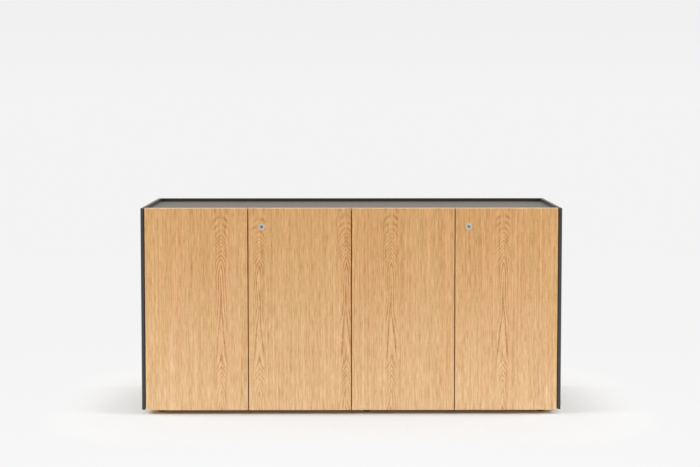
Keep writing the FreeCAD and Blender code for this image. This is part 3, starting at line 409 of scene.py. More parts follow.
def oak_veneer(settings):
    """Crown-cut oak veneer on the doors, sliced from one log and matt lacquered: straight vertical
    grain with a narrow column of nested arches where the leaf passed near the heart of the log."""
    material, tree, place = new_material("crown_cut_oak_veneer_matt_lacquer")
    facing = add(tree, "SeparateXYZ", (place.node.outputs["Normal"],)).outputs
    x, y, z = add(tree, "SeparateXYZ", (place,)).outputs
    edges = []
    for axis in (0, 2):
        facing_it = add(tree, "Math", (facing[axis],), operation="ABSOLUTE")
        edges.append(add(tree, "Math", (facing_it, EDGE_FACING), operation="GREATER_THAN"))
    upright, lying = edges

    # The grain runs up the faces and the upright edges, and along the top and bottom edges.
    behind = add(tree, "Math", (y, GRAIN_FACE_Y), operation="SUBTRACT")
    across = add(tree, "Math", (behind, EDGE_GRAIN_STRETCH, x), operation="MULTIPLY_ADD")
    across = add(tree, "Mix", {0: lying, 2: across, 3: behind})
    length = add(tree, "Mix", {0: lying, 2: z, 3: x})
    grain = add(tree, "CombineXYZ", (across, 0.0, length))

    # Straight grain: 55 mm wide bands as long as the door, 7 mm wide streaks half as long, and
    # 4 mm wide dashes some 55 mm long.
    bands = mottle(tree, grain, (55, 1000, 1400), 1.0, 3.0)
    streaks = mottle(tree, grain, (7, 1000, 420), 2.0, 11.0)
    dashes = mottle(tree, grain, (3.6, 1000, 55), 2.0, 23.0)
    # Pores are 0.3 mm wide and 6 mm long in oak; drawn 1 mm by 16 mm so that they show.
    pores = mottle(tree, grain, (1.0, 1000, 16), 1.0, 31.0)
    pores = add(tree, "MapRange", (pores, 0.58, 0.72, 0.0, 0.29))
    figure = crown_figure(tree, settings, grain, across, z)

    # All of it added up: 0 is the dark tone, 0.5 the plain wood and 1 the pale tone.
    tone = MEAN_TONE
    for pattern, weight in ((bands, 0.28), (streaks, 0.85), (dashes, 1.2)):
        pattern = add(tree, "Math", (pattern, 0.5), operation="SUBTRACT")
        tone = add(tree, "Math", (pattern, weight, tone), operation="MULTIPLY_ADD")
    tone = add(tree, "Math", (tone, pores), operation="SUBTRACT")
    tone = add(tree, "Math", (figure, -0.7, tone), operation="MULTIPLY_ADD", use_clamp=True)
    wood = add(tree, "ValToRGB", (tone,), stops=(
        (0.0, settings.dark_tone), (0.5, settings.middle_tone), (1.0, settings.light_tone)))
    base = edge_bands(tree, settings, wood, x, lying, upright)

    # The leaf is painted deeper and yellower towards its crown and paler towards its foot, as
    # painted light from the bright floor below.
    height = add(tree, "Math", (z, DOOR_TOP_MM * MM), operation="DIVIDE")
    painted_floor_light = add(tree, "ValToRGB", (height,), stops=PAINTED_FLOOR_LIGHT_DRIFT)
    base = add(tree, "Mix", {0: 1.0, 6: base, 7: painted_floor_light}, data_type="RGBA", blend_type="MULTIPLY")
    # Ring lines are redder than the wood round them.
    redness = add(tree, "Math", (figure, 0.0), operation="MAXIMUM")
    redness = add(tree, "Math", (redness, 1.0), operation="MINIMUM")
    base = add(tree, "Mix", {0: redness, 6: base, 7: settings.line_tone}, data_type="RGBA")
    # Broad bands lean to pink or to yellow by a few hundredths.
    hues = mottle(tree, grain, (26, 1000, 900), 1.0, 59.0)
    lean = add(tree, "ValToRGB", (hues,), stops=HUE_LEAN)
    base = add(tree, "Mix", {0: 1.0, 6: base, 7: lean}, data_type="RGBA", blend_type="MULTIPLY")
    # The sealed top and bottom edges are glossier than the faces.
    roughness = add(tree, "MapRange", (tone, 0.0, 1.0, 0.58, 0.48))
    roughness = add(tree, "Math", (lying, -0.40, roughness), operation="MULTIPLY_ADD")
    relief = add(tree, "Math", (pores, -2.0, dashes), operation="MULTIPLY_ADD")
    bump = add(tree, "Bump", {"Strength": 0.25, "Distance": 0.06 * MM, "Height": relief})
    finish_material(tree, base_color=base, roughness=roughness, normal=bump)
    return material


# Boards and fittings

def graphite_melamine(settings):
    """Graphite melamine on chipboard, pressed against a fine pearl texture: an even dark grey
    with a soft sheen that brightens at a low angle."""
    material, tree, place = new_material("graphite_melamine_pearl_texture")
    specks = mottle(tree, place, (2.5,) * 3, 2.0, 7.0)
    clouds = mottle(tree, place, (180,) * 3, 1.0, 2.0)
    clouds = add(tree, "Math", (clouds, 0.5), operation="SUBTRACT")
    mixed = add(tree, "Math", (clouds, 0.5, specks), operation="MULTIPLY_ADD")
    tone = add(tree, "Mix", {0: mixed, 6: settings.tone, 7: settings.pale_tone}, data_type="RGBA")
    # The pearl texture's dimples are 0.4 mm apart; drawn at 1.2 mm so that they show.
    dimples = mottle(tree, place, (1.2,) * 3, 1.0, 13.0)
    bump = add(tree, "Bump", {"Strength": 0.2, "Distance": 0.05 * MM, "Height": dimples})
    low, high = settings.roughness - 0.04, settings.roughness + 0.04
    roughness = add(tree, "MapRange", (specks, 0.3, 0.7, low, high))
    finish_material(tree, base_color=tone, roughness=roughness, normal=bump, sheen_weight=0.055,
                    sheen_roughness=0.35, sheen_tint=colour("#FFD87A"))
    return material


def plated_metal(name, pale, dark, roughness, grit_mm, metallic=1.0):
    """Plated metal: two close tones and a roughness that varies with the grit of its surface. A
    passivated or lacquered plating scatters some light itself, and is less metallic."""
    material, tree, place = new_material(name)
    grit = mottle(tree, place, grit_mm, 2.0, 3.0)
    stains = mottle(tree, place, (9,) * 3, 2.0, 19.0)
    tone = add(tree, "Mix", {0: stains, 6: colour(dark), 7: colour(pale)}, data_type="RGBA")
    rough = add(tree, "MapRange", (grit, 0.3, 0.7, roughness - 0.07, roughness + 0.07))
    bump = add(tree, "Bump", {"Strength": 0.12, "Distance": 0.03 * MM, "Height": grit})
    finish_material(tree, base_color=tone, metallic=metallic, roughness=rough, normal=bump)
    return material


def moulded(name, pale, dark, roughness, grain_mm, depth_mm):
    """Moulded plastic, rubber or pressed ferrite: a fine grain of the mould in tone and relief."""
    material, tree, place = new_material(name)
    grain = mottle(tree, place, (grain_mm,) * 3, 2.0, 5.0)
    clouds = mottle(tree, place, (14,) * 3, 1.0, 29.0)
    tone = add(tree, "Mix", {0: clouds, 6: colour(dark), 7: colour(pale)}, data_type="RGBA")
    rough = add(tree, "MapRange", (grain, 0.3, 0.7, roughness - 0.06, roughness + 0.06))
    bump = add(tree, "Bump", {"Strength": 0.3, "Distance": depth_mm * MM, "Height": grain})
    finish_material(tree, base_color=tone, roughness=rough, normal=bump)
    return material


def beech():
    """Beech dowels with pressed flutes: pale pinkish wood with short dark flecks."""
    material, tree, place = new_material("beech_dowel_planed")
    grain = mottle(tree, place, (0.8, 0.8, 12), 2.0, 3.0)
    flecks = mottle(tree, place, (0.5, 0.5, 2.5), 1.0, 17.0)
    tone = add(tree, "Math", (grain, 0.5), operation="MULTIPLY")
    tone = add(tree, "Math", (flecks, 0.6, tone), operation="MULTIPLY_ADD")
    wood = add(tree, "ValToRGB", (tone,), stops=(
        (0.35, colour("#B98E66")), (0.55, colour("#D9B38A")), (0.75, colour("#E6C7A2"))))
    bump = add(tree, "Bump", {"Strength": 0.3, "Distance": 0.05 * MM, "Height": grain})
    finish_material(tree, base_color=wood, roughness=0.62, normal=bump)
    return material


# Surfaces

def round_outline(radius, count, ripple=0.0, waves=0):
    """Points on a circle whose radius is radius (1 + ripple cos(waves angle))."""
    angle = np.arange(count) * 2 * np.pi / count
    size = radius * (1 + ripple * np.cos(waves * angle))
    return np.stack([size * np.cos(angle), size * np.sin(angle)], 1)


def square_outline(half_width, half_height, count, power=7.0):
    """Points on a superellipse: half width |cos|^(2 / power) by half height |sin|^(2 / power),
    with the signs of cos and sin. A power of 7 gives a rectangle with small round corners."""
    angle = np.arange(count) * 2 * np.pi / count
    c, s = np.cos(angle), np.sin(angle)
    return np.stack([
        half_width * np.sign(c) * np.abs(c) ** (2 / power),
        half_height * np.sign(s) * np.abs(s) ** (2 / power),
    ], 1)


def hexagon_outline(radius, count):
    """Points on a hexagon of that corner radius: radius cos 30 / cos(angle to the nearest flat)."""
    angle = np.arange(count) * 2 * np.pi / count
    to_flat = np.mod(angle, np.pi / 3) - np.pi / 6
    size = radius * np.cos(np.pi / 6) / np.cos(to_flat)
    return np.stack([size * np.cos(angle), size * np.sin(angle)], 1)


def threaded_rings(radius, depth, pitch, start, end, count, steps_a_pitch=4):
    """Rings of a screw thread: at height h and angle a the radius is smaller than the outer one by
    depth times |2 fraction(h / pitch - a / turn) - 1|. Height steps are a part of the pitch."""
    heights = np.linspace(start, end, max(2, int(round((end - start) / pitch * steps_a_pitch))))
    angle = np.arange(count) * 2 * np.pi / count
    turn = heights[:, None] / pitch - angle[None] / (2 * np.pi)
    size = radius - depth * np.abs(2 * np.mod(turn, 1.0) - 1)
    return [
        (height, np.stack([row * np.cos(angle), row * np.sin(angle)], 1))
        for height, row in zip(heights, size)
    ]


def ring_points(rings):
    """Stacks (height, outline) rings into an array of rings by points by x, y, height."""
    outlines = np.array([outline for _, outline in rings])
    heights = np.array([height for height, _ in rings])
    tall = np.broadcast_to(heights[:, None, None], outlines.shape[:2] + (1,))
    return np.concatenate([outlines, tall], 2)


def quads(rows, count, looped):
    """Faces between neighbouring rings of points; looped also joins the last ring to the first."""
    row = np.arange(rows if looped else rows - 1)[:, None]
    column = np.arange(count)[None]
    after = (row + 1) % rows
    beside = (column + 1) % count
    corners = (row * count + column, row * count + beside, after * count + beside,
               after * count + column)
    return np.stack(np.broadcast_arrays(*corners), 2).reshape(-1, 4)


def caps(rows, count):
    """Fans that close the first and the last ring with a middle point each."""
    column = np.arange(count)
    beside = (column + 1) % count
    first = np.stack([beside, column, np.full(count, rows * count)], 1)
    base = (rows - 1) * count
    last = np.stack([base + column, base + beside, np.full(count, rows * count + 1)], 1)
    return np.concatenate([first, last])


def stack_of_rings(rings, looped=False):
    """Points and faces of a solid whose skin passes through every ring in turn. Unless it is
    looped into a tube, both its ends are closed with a fan."""
    grid = ring_points(rings)
    rows, count = grid.shape[:2]
    points = grid.reshape(-1, 3)
    faces = quads(rows, count, looped).tolist()
    if not looped:
        middles = np.stack([grid[0].mean(0), grid[-1].mean(0)])
        points = np.concatenate([points, middles])
        faces += caps(rows, count).tolist()
    return points, faces


def stood(points, place):
    """Points whose third axis is up, moved to a place."""
    return points + np.array(place)


def faced(points, place):
    """Points whose third axis runs into the case along +Y: (x, y, height) becomes (x, height, -y)
    about a place, which is a turn and keeps faces outwards."""
    return np.stack([points[:, 0], points[:, 2], -points[:, 1]], 1) + np.array(place)


def make_piece(name, solids, material, body, replaced, smooth_angle=35):
    """One object from (points, faces) solids, riding on a body in place of CAD nodes."""
    points, faces, start = [], [], 0
    for solid_points, solid_faces in solids:
        points.append(solid_points)
        faces += [tuple(index + start for index in face) for face in solid_faces]
        start += len(solid_points)
    mesh = bpy.data.meshes.new(name)
    mesh.from_pydata(np.concatenate(points), [], faces)
    mesh.shade_smooth()
    mesh.set_sharp_from_angle(angle=math.radians(smooth_angle))
    mesh.materials.append(material)
    mesh.validate()
    piece = bpy.data.objects.new(name, mesh)
    bpy.context.scene.collection.objects.link(piece)
    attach(piece, body)
    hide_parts(*replaced)


# Locks

RING_COUNT = 96
LOCK_BARREL_MM = 8.9
LOCK_BORE_MM = 6.55
LOCK_CORE_MM = 6.45
LOCK_PROUD_MM = 1.5
LOCK_HEAD_EDGE_MM = 0.4
LOCK_BORE_CHAMFER_MM = 0.2
DOME_START = 0.12
DOME_STEPS = 15
LOCK_PITCH_MM = 1.0
LOCK_THREAD_MM = 0.45
LOCK_SQUARE_MM = 3.5
LOCK_CORE_CHAMFER_MM = 0.25
KEYWAY_END_MM = 12.0
# Radius and depth of the points across a core's face: a shallow ring groove, then the rim.
LOCK_FACE_MM = ((5.2, 0.0), (5.35, 0.14), (5.6, 0.14), (5.75, 0.0), (6.2, 0.0))
LOCK_NUT_MM = 12.0
NUT_CHAMFER_MM = 0.6


def in_mm(rings):
    """Rings with their sizes turned from millimetres to metres."""
    return [(height * MM, outline * MM) for height, outline in rings]


def lock_housing(rim, depth_mm):
    """A lock's head, then its threaded barrel, and its bore back to the front. The head is a domed
    ring with a short upright rim: at angle t from bore to rim its radius is
    inner + (rim - inner) (1 - cos t) / 2, and it lies dome (1 - sin t) behind the front. Heights
    run from the head's front into the door."""
    dome = LOCK_PROUD_MM - LOCK_HEAD_EDGE_MM
    inner = LOCK_BORE_MM + LOCK_BORE_CHAMFER_MM
    profile = [(LOCK_BORE_MM, dome * 0.8)]
    for step in np.linspace(DOME_START, 1.0, DOME_STEPS) * np.pi:
        across = inner + (rim - inner) * (1 - math.cos(step)) / 2
        profile.append((across, dome * (1 - math.sin(step))))
    profile += [(rim, LOCK_PROUD_MM), (LOCK_BARREL_MM, LOCK_PROUD_MM)]
    rings = [(height, round_outline(radius, RING_COUNT)) for radius, height in profile]
    rings += threaded_rings(LOCK_BARREL_MM, LOCK_THREAD_MM, LOCK_PITCH_MM, LOCK_PROUD_MM + 0.5,
                            depth_mm - 0.4, RING_COUNT)
    rings += [(depth_mm, round_outline(LOCK_BARREL_MM - 0.6, RING_COUNT)),
              (depth_mm, round_outline(LOCK_BORE_MM, RING_COUNT))]
    return stack_of_rings(in_mm(rings), looped=True)


def lock_core(settings, depth_mm, square_end_mm):
    """A lock's core: from the floor of the keyway out to its face, over a shallow ring groove to
    the rim, back along the barrel and down to the square that drives the cam."""
    recess = settings.lock_face_recess / MM
    half_width, half_height = settings.keyway_width / MM / 2, settings.keyway_height / MM / 2
    chamfer = LOCK_CORE_CHAMFER_MM
    rings = [
        (KEYWAY_END_MM, square_outline(half_width, half_height, RING_COUNT)),
        (recess + chamfer, square_outline(half_width, half_height, RING_COUNT)),
        (recess, square_outline(half_width + chamfer, half_height + chamfer, RING_COUNT)),
    ]
    for radius, sunk in LOCK_FACE_MM:
        rings.append((recess + sunk, round_outline(radius, RING_COUNT)))
    rings += [
        (recess + chamfer, round_outline(LOCK_CORE_MM, RING_COUNT)),
        (depth_mm, round_outline(LOCK_CORE_MM, RING_COUNT)),
        (depth_mm, square_outline(LOCK_SQUARE_MM, LOCK_SQUARE_MM, RING_COUNT)),
        (square_end_mm, square_outline(LOCK_SQUARE_MM, LOCK_SQUARE_MM, RING_COUNT)),
    ]
    return stack_of_rings(in_mm(rings))


def lock_nut(thickness_mm):
    """A hexagon nut with chamfered corners round the barrel."""
    corners, chamfer = LOCK_NUT_MM, NUT_CHAMFER_MM
    small = hexagon_outline(corners - chamfer, RING_COUNT)
    large = hexagon_outline(corners, RING_COUNT)
    bore = round_outline(LOCK_BARREL_MM, RING_COUNT)
    rings = [(0.0, bore), (0.0, small), (chamfer, large), (thickness_mm - chamfer, large),
             (thickness_mm, small), (thickness_mm, bore)]
    return stack_of_rings(in_mm(rings), looped=True)


# Feet and bumpers

FOOT_COUNT = 96
FOOT_BASE_MM = 19.0
FOOT_RIPPLE = 0.012
# Height of the base's rounded lower edge with how far it lies in, and the ribs' two ends.
FOOT_EDGE_MM = ((0.0, 1.6), (0.5, 0.9))
FOOT_RIBS_MM = (1.2, 4.3)
FOOT_SHOULDER_MM = 9.5
FOOT_SHOULDER_START_MM = 4.6
FOOT_SHOULDER_RISE_MM = 2.4
FOOT_HEXAGON_MM = 8.0
FOOT_HEXAGON_TOP_MM = 12.0
FOOT_HEXAGON_CHAMFER_MM = 0.8
FOOT_STEM_MM = 3.9
FOOT_PITCH_MM = 1.25
FOOT_THREAD_MM = 0.6
FOOT_TOP_MM = 34.0
FOOT_TIP_MM = 2.8
BUMPER_COUNT = 48
BUMPER_STRAIGHT = 0.45
BUMPER_CLOSED = 0.96
BUMPER_INSET = 30.0 * MM


def levelling_foot(ribs):
    """A moulded foot: a ribbed base with a domed shoulder, a hexagon for a spanner and a threaded
    stem, from the floor up. At angle t the shoulder's radius is inner + (outer - inner) cos t, and
    it lies rise sin t over its start."""
    rim = FOOT_BASE_MM / (1 + FOOT_RIPPLE)
    rings = [(height, round_outline(FOOT_BASE_MM - inset, FOOT_COUNT))
             for height, inset in FOOT_EDGE_MM]
    rings += [(height, round_outline(rim, FOOT_COUNT, FOOT_RIPPLE, ribs))
              for height in FOOT_RIBS_MM]
    outer = FOOT_BASE_MM - 1.0
    for step in np.linspace(0.1, 1.0, 8) * np.pi / 2:
        radius = FOOT_SHOULDER_MM + (outer - FOOT_SHOULDER_MM) * math.cos(step)
        height = FOOT_SHOULDER_START_MM + FOOT_SHOULDER_RISE_MM * math.sin(step)
        rings.append((height, round_outline(radius, FOOT_COUNT)))
    hexagon = hexagon_outline(FOOT_HEXAGON_MM, FOOT_COUNT)
    worn = hexagon_outline(FOOT_HEXAGON_MM - FOOT_HEXAGON_CHAMFER_MM, FOOT_COUNT)
    rings += [(FOOT_SHOULDER_START_MM + FOOT_SHOULDER_RISE_MM, hexagon),
              (FOOT_HEXAGON_TOP_MM - 0.6, hexagon), (FOOT_HEXAGON_TOP_MM, worn),
              (FOOT_HEXAGON_TOP_MM, round_outline(FOOT_STEM_MM, FOOT_COUNT))]
    rings += threaded_rings(FOOT_STEM_MM, FOOT_THREAD_MM, FOOT_PITCH_MM, FOOT_HEXAGON_TOP_MM + 0.4,
                            FOOT_TOP_MM - 0.6, FOOT_COUNT)
    rings.append((FOOT_TOP_MM, round_outline(FOOT_TIP_MM, FOOT_COUNT)))
    return stack_of_rings(in_mm(rings))


def bumper(radius, height):
    """A button whose side rises straight for a share of its height, then closes in a quarter
    round: at angle t it is radius cos t out and height (share + (1 - share) sin t / sin end) up.
    Heights run out of the panel."""
    end = BUMPER_CLOSED * math.pi / 2
    rings = [(0.0, round_outline(radius, BUMPER_COUNT)),
             (BUMPER_STRAIGHT * height, round_outline(radius, BUMPER_COUNT))]
    for step in np.linspace(0.0, end, 9)[1:]:
        round_share = (1 - BUMPER_STRAIGHT) * math.sin(step) / math.sin(end)
        rings.append((height * (BUMPER_STRAIGHT + round_share),
                      round_outline(radius * math.cos(step), BUMPER_COUNT)))
    return stack_of_rings(rings)


# Operators

class CREDENZA_OT_boards(bpy.types.Operator):
    """Finishes the case's boards and shelves in graphite melamine"""
    bl_idname = "credenza.boards"
    bl_label = "Finish boards"

    def execute(self, context):
        graphite = graphite_melamine(context.scene.credenza_boards)
        for name in ("side_cladding_left", "side_cladding_right", "back_cladding",
                     "carcass_side_left", "carcass_side_right", "carcass_bottom", "carcass_top",
                     "centre_partition", "shelf_left", "shelf_right"):
            dress(name, graphite)
        return {"FINISHED"}


class CREDENZA_OT_doors(bpy.types.Operator):
    """Finishes the four doors in crown-cut oak veneer"""
    bl_idname = "credenza.doors"
    bl_label = "Finish doors"

    def execute(self, context):
        oak = oak_veneer(context.scene.credenza_oak)
        for number in DOOR_NUMBERS:
            dress(f"door_{number}_panel", oak)
        return {"FINISHED"}


class CREDENZA_OT_fittings(bpy.types.Operator):
    """Finishes hinges, screws, catches, strikes, pins and dowels"""
    bl_idname = "credenza.fittings"
    bl_label = "Finish fittings"

    def execute(self, context):
        # Nickel plated zinc and steel: a warm pale grey with soft reflections.
        nickel = plated_metal("nickel_plated_hinge_steel", "#CFC9C0", "#BDB6AC", 0.36,
                              (0.6, 0.6, 0.6), 0.75)
        # Zinc plated screws: a cooler, duller grey.
        zinc = plated_metal("zinc_plated_screw_steel", "#B9BDC2", "#A3A8AD", 0.42,
                            (0.5, 0.5, 0.5), 0.7)
        # Pressed and zinc plated sheet: drawn marks run along it.
        pressed = plated_metal("zinc_plated_pressed_steel", "#BFC1C2", "#ABADAF", 0.40,
                               (6, 0.5, 0.5), 0.7)
        # Bright drawn steel pegs.
        drawn = plated_metal("bright_drawn_steel", "#C6C5C2", "#B2B0AD", 0.24, (4, 0.4, 0.4))
        # Black moulded plastic: near black with a fine spark-eroded grain.
        black = moulded("black_moulded_abs", "#232324", "#1A1A1B", 0.48, 0.7, 0.05)
        # Sintered ferrite: dark grey, dull and slightly granular.
        ferrite = moulded("sintered_ferrite", "#48484A", "#38383A", 0.6, 0.5, 0.04)
        for name in ("hinge_plates", "hinge_arms_outer", "hinge_arms_inner"):
            dress(name, nickel)
        for number in DOOR_NUMBERS:
            dress(f"door_{number}_hinge_cups", nickel)
            dress(f"door_{number}_screws", zinc)
            dress(f"door_{number}_catch_plate", pressed)
        for name in ("panel_screws", "fitting_screws", "hinge_clamp_screws", "lock_2_cam_screw",
                     "lock_4_cam_screw"):
            dress(name, zinc)
        for name in ("cam_strikes", "door_1_lock_lip", "door_3_lock_lip", "lock_2_cam",
                     "lock_4_cam"):
            dress(name, pressed)
        for name in ("hinge_pins", "shelf_pins"):
            dress(name, drawn)
        for name in ("catch_housings", "foot_sockets"):
            dress(name, black)
        dress("catch_magnets", ferrite)
        dress("dowels", beech())
        return {"FINISHED"}


class CREDENZA_OT_locks(bpy.types.Operator):
    """Builds the two cam locks' housings, cores and nuts"""
    bl_idname = "credenza.locks"
    bl_label = "Build locks"

    def execute(self, context):
        settings = context.scene.credenza_fittings
        # Satin nickel on turned brass: a warm light grey, soft reflections.
        satin = plated_metal("satin_nickel_lock_housing", "#DAD3C6", "#CBC4B7", 0.30, (0.4,) * 3)
        # The core is brushed across its face, a shade darker.
        brushed = plated_metal("brushed_nickel_lock_core", "#9D9DA1", "#8A8A8E", 0.38, (3, 3, 0.3))
        for number in LOCKED_DOORS:
            low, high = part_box(f"lock_{number}_housing")
            face = ((low.x + high.x) / 2, low.y, (low.z + high.z) / 2)
            points, faces = lock_housing((high.x - low.x) / 2 / MM, (high.y - low.y) / MM)
            make_piece(f"lock_{number}_head_and_barrel", [(faced(points, face), faces)], satin,
                       f"door_{number}", [f"lock_{number}_housing"])
            cam_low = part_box(f"lock_{number}_cam")[0]
            core_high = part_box(f"lock_{number}_plug")[1]
            points, faces = lock_core(settings, (cam_low.y - low.y) / MM,
                                      (core_high.y - low.y) / MM)
            make_piece(f"lock_{number}_core", [(faced(points, face), faces)], brushed,
                       f"lock_{number}_barrel", [f"lock_{number}_plug"])
            nut_low, nut_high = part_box(f"lock_{number}_nut")
            points, faces = lock_nut((nut_high.y - nut_low.y) / MM)
            nut_place = (face[0], nut_low.y, face[2])
            make_piece(f"lock_{number}_hexagon_nut", [(faced(points, nut_place), faces)], satin,
                       f"door_{number}", [f"lock_{number}_nut"])
        return {"FINISHED"}


class CREDENZA_OT_feet(bpy.types.Operator):
    """Builds the six levelling feet"""
    bl_idname = "credenza.feet"
    bl_label = "Build feet"

    def execute(self, context):
        # Black polyamide: dull, with a fine mould grain.
        nylon = moulded("black_moulded_polyamide", "#1E1E1F", "#161617", 0.55, 0.6, 0.05)
        ribs = context.scene.credenza_fittings.foot_rib_count
        for name in FOOT_NAMES:
            low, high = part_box(name)
            place = ((low.x + high.x) / 2, (low.y + high.y) / 2, 0.0)
            points, faces = levelling_foot(ribs)
            make_piece(f"{name}_moulded", [(stood(points, place), faces)], nylon, name,
                       [name])
        return {"FINISHED"}


class CREDENZA_OT_bumpers(bpy.types.Operator):
    """Builds the rubber buttons that the doors close against"""
    bl_idname = "credenza.bumpers"
    bl_label = "Build bumpers"

    def execute(self, context):
        # Soft grey elastomer: matt, with a fine mould grain.
        rubber = moulded("grey_moulded_elastomer", "#8B8A88", "#7C7B79", 0.62, 0.8, 0.03)
        low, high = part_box("door_bumpers")
        radius = (high.z - low.z) / 2
        points, faces = bumper(radius, high.y - low.y)
        # The buttons stand out towards the doors, along -Y.
        outwards = np.stack([points[:, 0], -points[:, 2], points[:, 1]], 1)
        middle_z = (low.z + high.z) / 2
        solids = []
        for number, free_side in ((1, 1), (2, -1), (3, 1), (4, -1)):
            panel_low, panel_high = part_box(f"door_{number}_panel")
            edge = panel_high.x if free_side > 0 else panel_low.x
            place = (edge - free_side * BUMPER_INSET, high.y, middle_z)
            solids.append((stood(outwards, place), faces))
        make_piece("door_buttons", solids, rubber, "case", ["door_bumpers"])
        return {"FINISHED"}


# Studio

FLOOR_SIZE = 60.0
AREA_LAMPS = (
    # name, place, point it faces, width, height, watts
    ("side_left", (-4.0, -0.3, 1.7), (0.0, 0.0, 0.3), 2.4, 2.4, 202.0),
    ("side_right", (4.0, -0.3, 1.7), (0.0, 0.0, 0.3), 2.4, 2.4, 202.0),
    ("overhead", (0.0, 0.3, 3.6), (0.0, 0.2, 0.0), 4.5, 3.5, 47.0),
    ("back", (0.0, 3.4, 3.2), (0.0, 0.4, 0.0), 4.0, 2.0, 36.0),
    ("low_front", (0.0, -1.2, 0.08), (0.0, 0.0, 0.06), 3.6, 0.1, 8.0),
)
AMBIENT = 0.1


def seen_ray(tree):
    """1 for rays that show the stage itself: from the camera, in reflections and through glass."""
    rays = add(tree, "LightPath").outputs
    seen = rays["Is Camera Ray"]
    for kind in ("Is Glossy Ray", "Is Transmission Ray"):
        seen = add(tree, "Math", (seen, rays[kind]), operation="MAXIMUM")
    return seen


def light_world(settings):
    """A pale backdrop, a little darker overhead, for seen rays and even soft light for the rest."""
    world = bpy.data.worlds.new("studio")
    bpy.context.scene.world = world
    world.use_nodes = True
    tree = world.node_tree
    tree.nodes.clear()
    direction = add(tree, "TexCoord").outputs["Object"]
    height = add(tree, "SeparateXYZ", (direction,)).outputs[2]
    rise = add(tree, "MapRange", (height, 0.0, 0.5, 0.0, 1.0))
    tone = add(tree, "Mix", {0: rise, 6: settings.backdrop_tone, 7: settings.overhead_tone},
               data_type="RGBA")
    backdrop = add(tree, "Background", (tone, 1.0))
    ambient = add(tree, "Background", ((1.0, 1.0, 1.0), AMBIENT))
    mixed = add(tree, "MixShader", (seen_ray(tree), ambient, backdrop))
    add(tree, "OutputWorld", (mixed,))


# The floor takes shadows beside and behind the object up to where it turns into plain tone, and
# in front only faintly, where the doors' own light would tint it.
SHADOW_FULL = 0.10
SHADOW_END = 0.42
FRONT_PLAIN_SHARE = 0.75
FRONT_PLAIN_REACH = 0.04
# The floor's plain tone falls off as TONE_FAR - TONE_FALL / (distance from TONE_MIDDLE).
TONE_MIDDLE = (0.0, -3.0, 0.0)
TONE_FAR = 1.4
TONE_FALL = 3.08
# Under the doors' front edge the floor is painted warm, with a faint glow, standing for the doors'
# reflected light: from UNDER_EDGE to UNDER_DEPTH behind the edge, fading over UNDER_FADE behind
# that, and over half of UNDER_END at the sides.
UNDER_EDGE = 0.035
UNDER_DEPTH = 0.05
UNDER_FADE = 0.03
UNDER_END = 0.05
PAINTED_BOUNCE_GLOW = 0.07


def floor_material(settings):
    """Pale matt studio floor: it takes the object's shadow close by and turns into the backdrop's
    plain tone further out, where only its colour is seen. Under the doors' front edge it is painted
    warm with a faint glow, standing for the doors' reflected light."""
    material, tree, place = new_material("pale_matt_studio_floor")
    x, y, _ = add(tree, "SeparateXYZ", (place,)).outputs
    low, high = CAD_BOX
    beyond = []
    squares = 0.0
    for value, half in ((x, high.x), (y, high.y)):
        size = add(tree, "Math", (value,), operation="ABSOLUTE")
        beyond.append(add(tree, "Math", (size, half), operation="SUBTRACT"))
        out = add(tree, "Math", (beyond[-1], 0.0), operation="MAXIMUM")
        squares = add(tree, "Math", (out, out, squares), operation="MULTIPLY_ADD")
    away = add(tree, "Math", (squares,), operation="SQRT")
    around = add(tree, "MapRange", (away, SHADOW_FULL, SHADOW_END, 0.0, 1.0),
                 interpolation_type="SMOOTHSTEP")
    before = add(tree, "Math", (low.y, y), operation="SUBTRACT")
    before = add(tree, "MapRange", (before, 0.0, FRONT_PLAIN_REACH, 0.0, FRONT_PLAIN_SHARE),
                 interpolation_type="SMOOTHSTEP")
    plain_share = add(tree, "Math", (around, before), operation="MAXIMUM")
    fade = add(tree, "VectorMath", (place, TONE_MIDDLE), operation="DISTANCE")
    fade = add(tree, "Math", (-TONE_FALL, fade), operation="DIVIDE")
    fade = add(tree, "Math", (fade, TONE_FAR), operation="ADD", use_clamp=True)
    tone = add(tree, "Mix", {0: fade, 6: settings.floor_tone, 7: settings.backdrop_tone},
               data_type="RGBA")

    behind = add(tree, "Math", (y, low.y), operation="SUBTRACT")
    under = 1.0
    for value, full, none in ((behind, UNDER_EDGE, 0.0), (beyond[0], -UNDER_END, -UNDER_END / 2),
                              (behind, UNDER_DEPTH, UNDER_DEPTH + UNDER_FADE)):
        part = add(tree, "MapRange", (value, full, none, 1.0, 0.0),
                   interpolation_type="SMOOTHSTEP")
        under = add(tree, "Math", (part, under), operation="MULTIPLY")
    # Under the doors' front edge the floor's tones are painted warm, standing for the doors'
    # reflected light.
    matt_tone, tone = (
        add(tree, "Mix", {0: under, 6: plain, 7: settings.painted_bounce_floor_tone}, data_type="RGBA")
        for plain in (settings.matt_floor_tone, tone)
    )
    # There the floor also glows faintly in that warm tone: painted light, not a lamp.
    plain_share = add(tree, "Math", (under, PAINTED_BOUNCE_GLOW, plain_share), operation="MULTIPLY_ADD")
    share = add(tree, "Math", (seen_ray(tree), plain_share), operation="MULTIPLY")
    matt = add(tree, "BsdfDiffuse", (matt_tone,))
    plain = add(tree, "Emission", (tone, 1.0))
    add(tree, "OutputMaterial", (add(tree, "MixShader", (share, matt, plain)),))
    return material


def lay_floor(settings):
    """The floor as one flat square, with the object over its middle."""
    half = FLOOR_SIZE / 2
    corners = [(-half, -half, 0.0), (half, -half, 0.0), (half, half, 0.0), (-half, half, 0.0)]
    mesh = bpy.data.meshes.new("studio_floor")
    mesh.from_pydata(corners, [], [(0, 1, 2, 3)])
    mesh.materials.append(floor_material(settings))
    floor = bpy.data.objects.new("studio_floor", mesh)
    bpy.context.scene.collection.objects.link(floor)


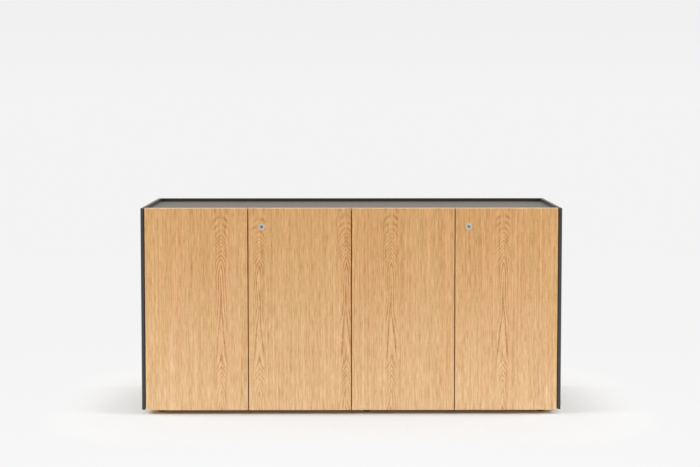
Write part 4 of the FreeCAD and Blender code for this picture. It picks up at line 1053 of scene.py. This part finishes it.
def hang_lamps():
    """Area lamps that light the object but aren't seen themselves."""
    for name, place, aim, width, height, watts in AREA_LAMPS:
        lamp = bpy.data.lights.new(name, "AREA")
        lamp.shape = "RECTANGLE"
        lamp.size, lamp.size_y = width, height
        lamp.energy = watts
        holder = bpy.data.objects.new(name, lamp)
        holder.location = place
        towards = np.array(aim) - np.array(place)
        pitch = math.atan2(math.hypot(towards[0], towards[1]), -towards[2])
        holder.rotation_euler = (pitch, 0.0, math.atan2(-towards[0], towards[1]))
        holder.visible_camera = False
        holder.visible_glossy = False
        bpy.context.scene.collection.objects.link(holder)


def place_camera(settings):
    """The camera at its place, turned and shifted."""
    data = bpy.data.cameras.new("camera")
    data.lens = settings.lens
    data.sensor_width = 36.0
    data.shift_y = settings.shift
    camera = bpy.data.objects.new("camera", data)
    camera.location = settings.camera_place
    camera.rotation_euler = (math.pi / 2 - settings.camera_pitch, 0.0, -settings.camera_yaw)
    bpy.context.scene.collection.objects.link(camera)
    bpy.context.scene.camera = camera


class CREDENZA_OT_stage(bpy.types.Operator):
    """Lays the floor, hangs the lamps and places the camera"""
    bl_idname = "credenza.stage"
    bl_label = "Set up studio"

    def execute(self, context):
        settings = context.scene.credenza_studio
        light_world(settings)
        lay_floor(settings)
        hang_lamps()
        place_camera(settings)
        context.scene.view_settings.view_transform = "Standard"
        return {"FINISHED"}


class CREDENZA_PT_sidebar(bpy.types.Panel):
    """Lists the credenza's steps and settings"""
    bl_idname = "CREDENZA_PT_sidebar"
    bl_label = "Credenza"
    bl_space_type = "VIEW_3D"
    bl_region_type = "UI"
    bl_category = "Credenza"

    def draw(self, context):
        for step in STEPS:
            self.layout.operator(step.bl_idname)
        for name, group in SETTINGS.items():
            box = self.layout.box()
            for key in group.__annotations__:
                box.prop(getattr(context.scene, name), key)


STEPS = (CREDENZA_OT_boards, CREDENZA_OT_doors, CREDENZA_OT_fittings, CREDENZA_OT_locks,
         CREDENZA_OT_feet, CREDENZA_OT_bumpers, CREDENZA_OT_stage)
SETTINGS = {
    "credenza_oak": OakSettings,
    "credenza_boards": BoardSettings,
    "credenza_fittings": FittingSettings,
    "credenza_studio": StudioSettings,
}


def register():
    for group in SETTINGS.values():
        bpy.utils.register_class(group)
    for name, group in SETTINGS.items():
        setattr(bpy.types.Scene, name, bpy.props.PointerProperty(type=group))
    for shown in STEPS + (CREDENZA_PT_sidebar,):
        bpy.utils.register_class(shown)


def unregister():
    for shown in reversed(STEPS + (CREDENZA_PT_sidebar,)):
        bpy.utils.unregister_class(shown)
    for name, group in SETTINGS.items():
        delattr(bpy.types.Scene, name)
        bpy.utils.unregister_class(group)


def main():
    register()
    for step in STEPS:
        getattr(bpy.ops.credenza, step.bl_idname.split(".")[1])()


if __name__ == "__main__":
    main()
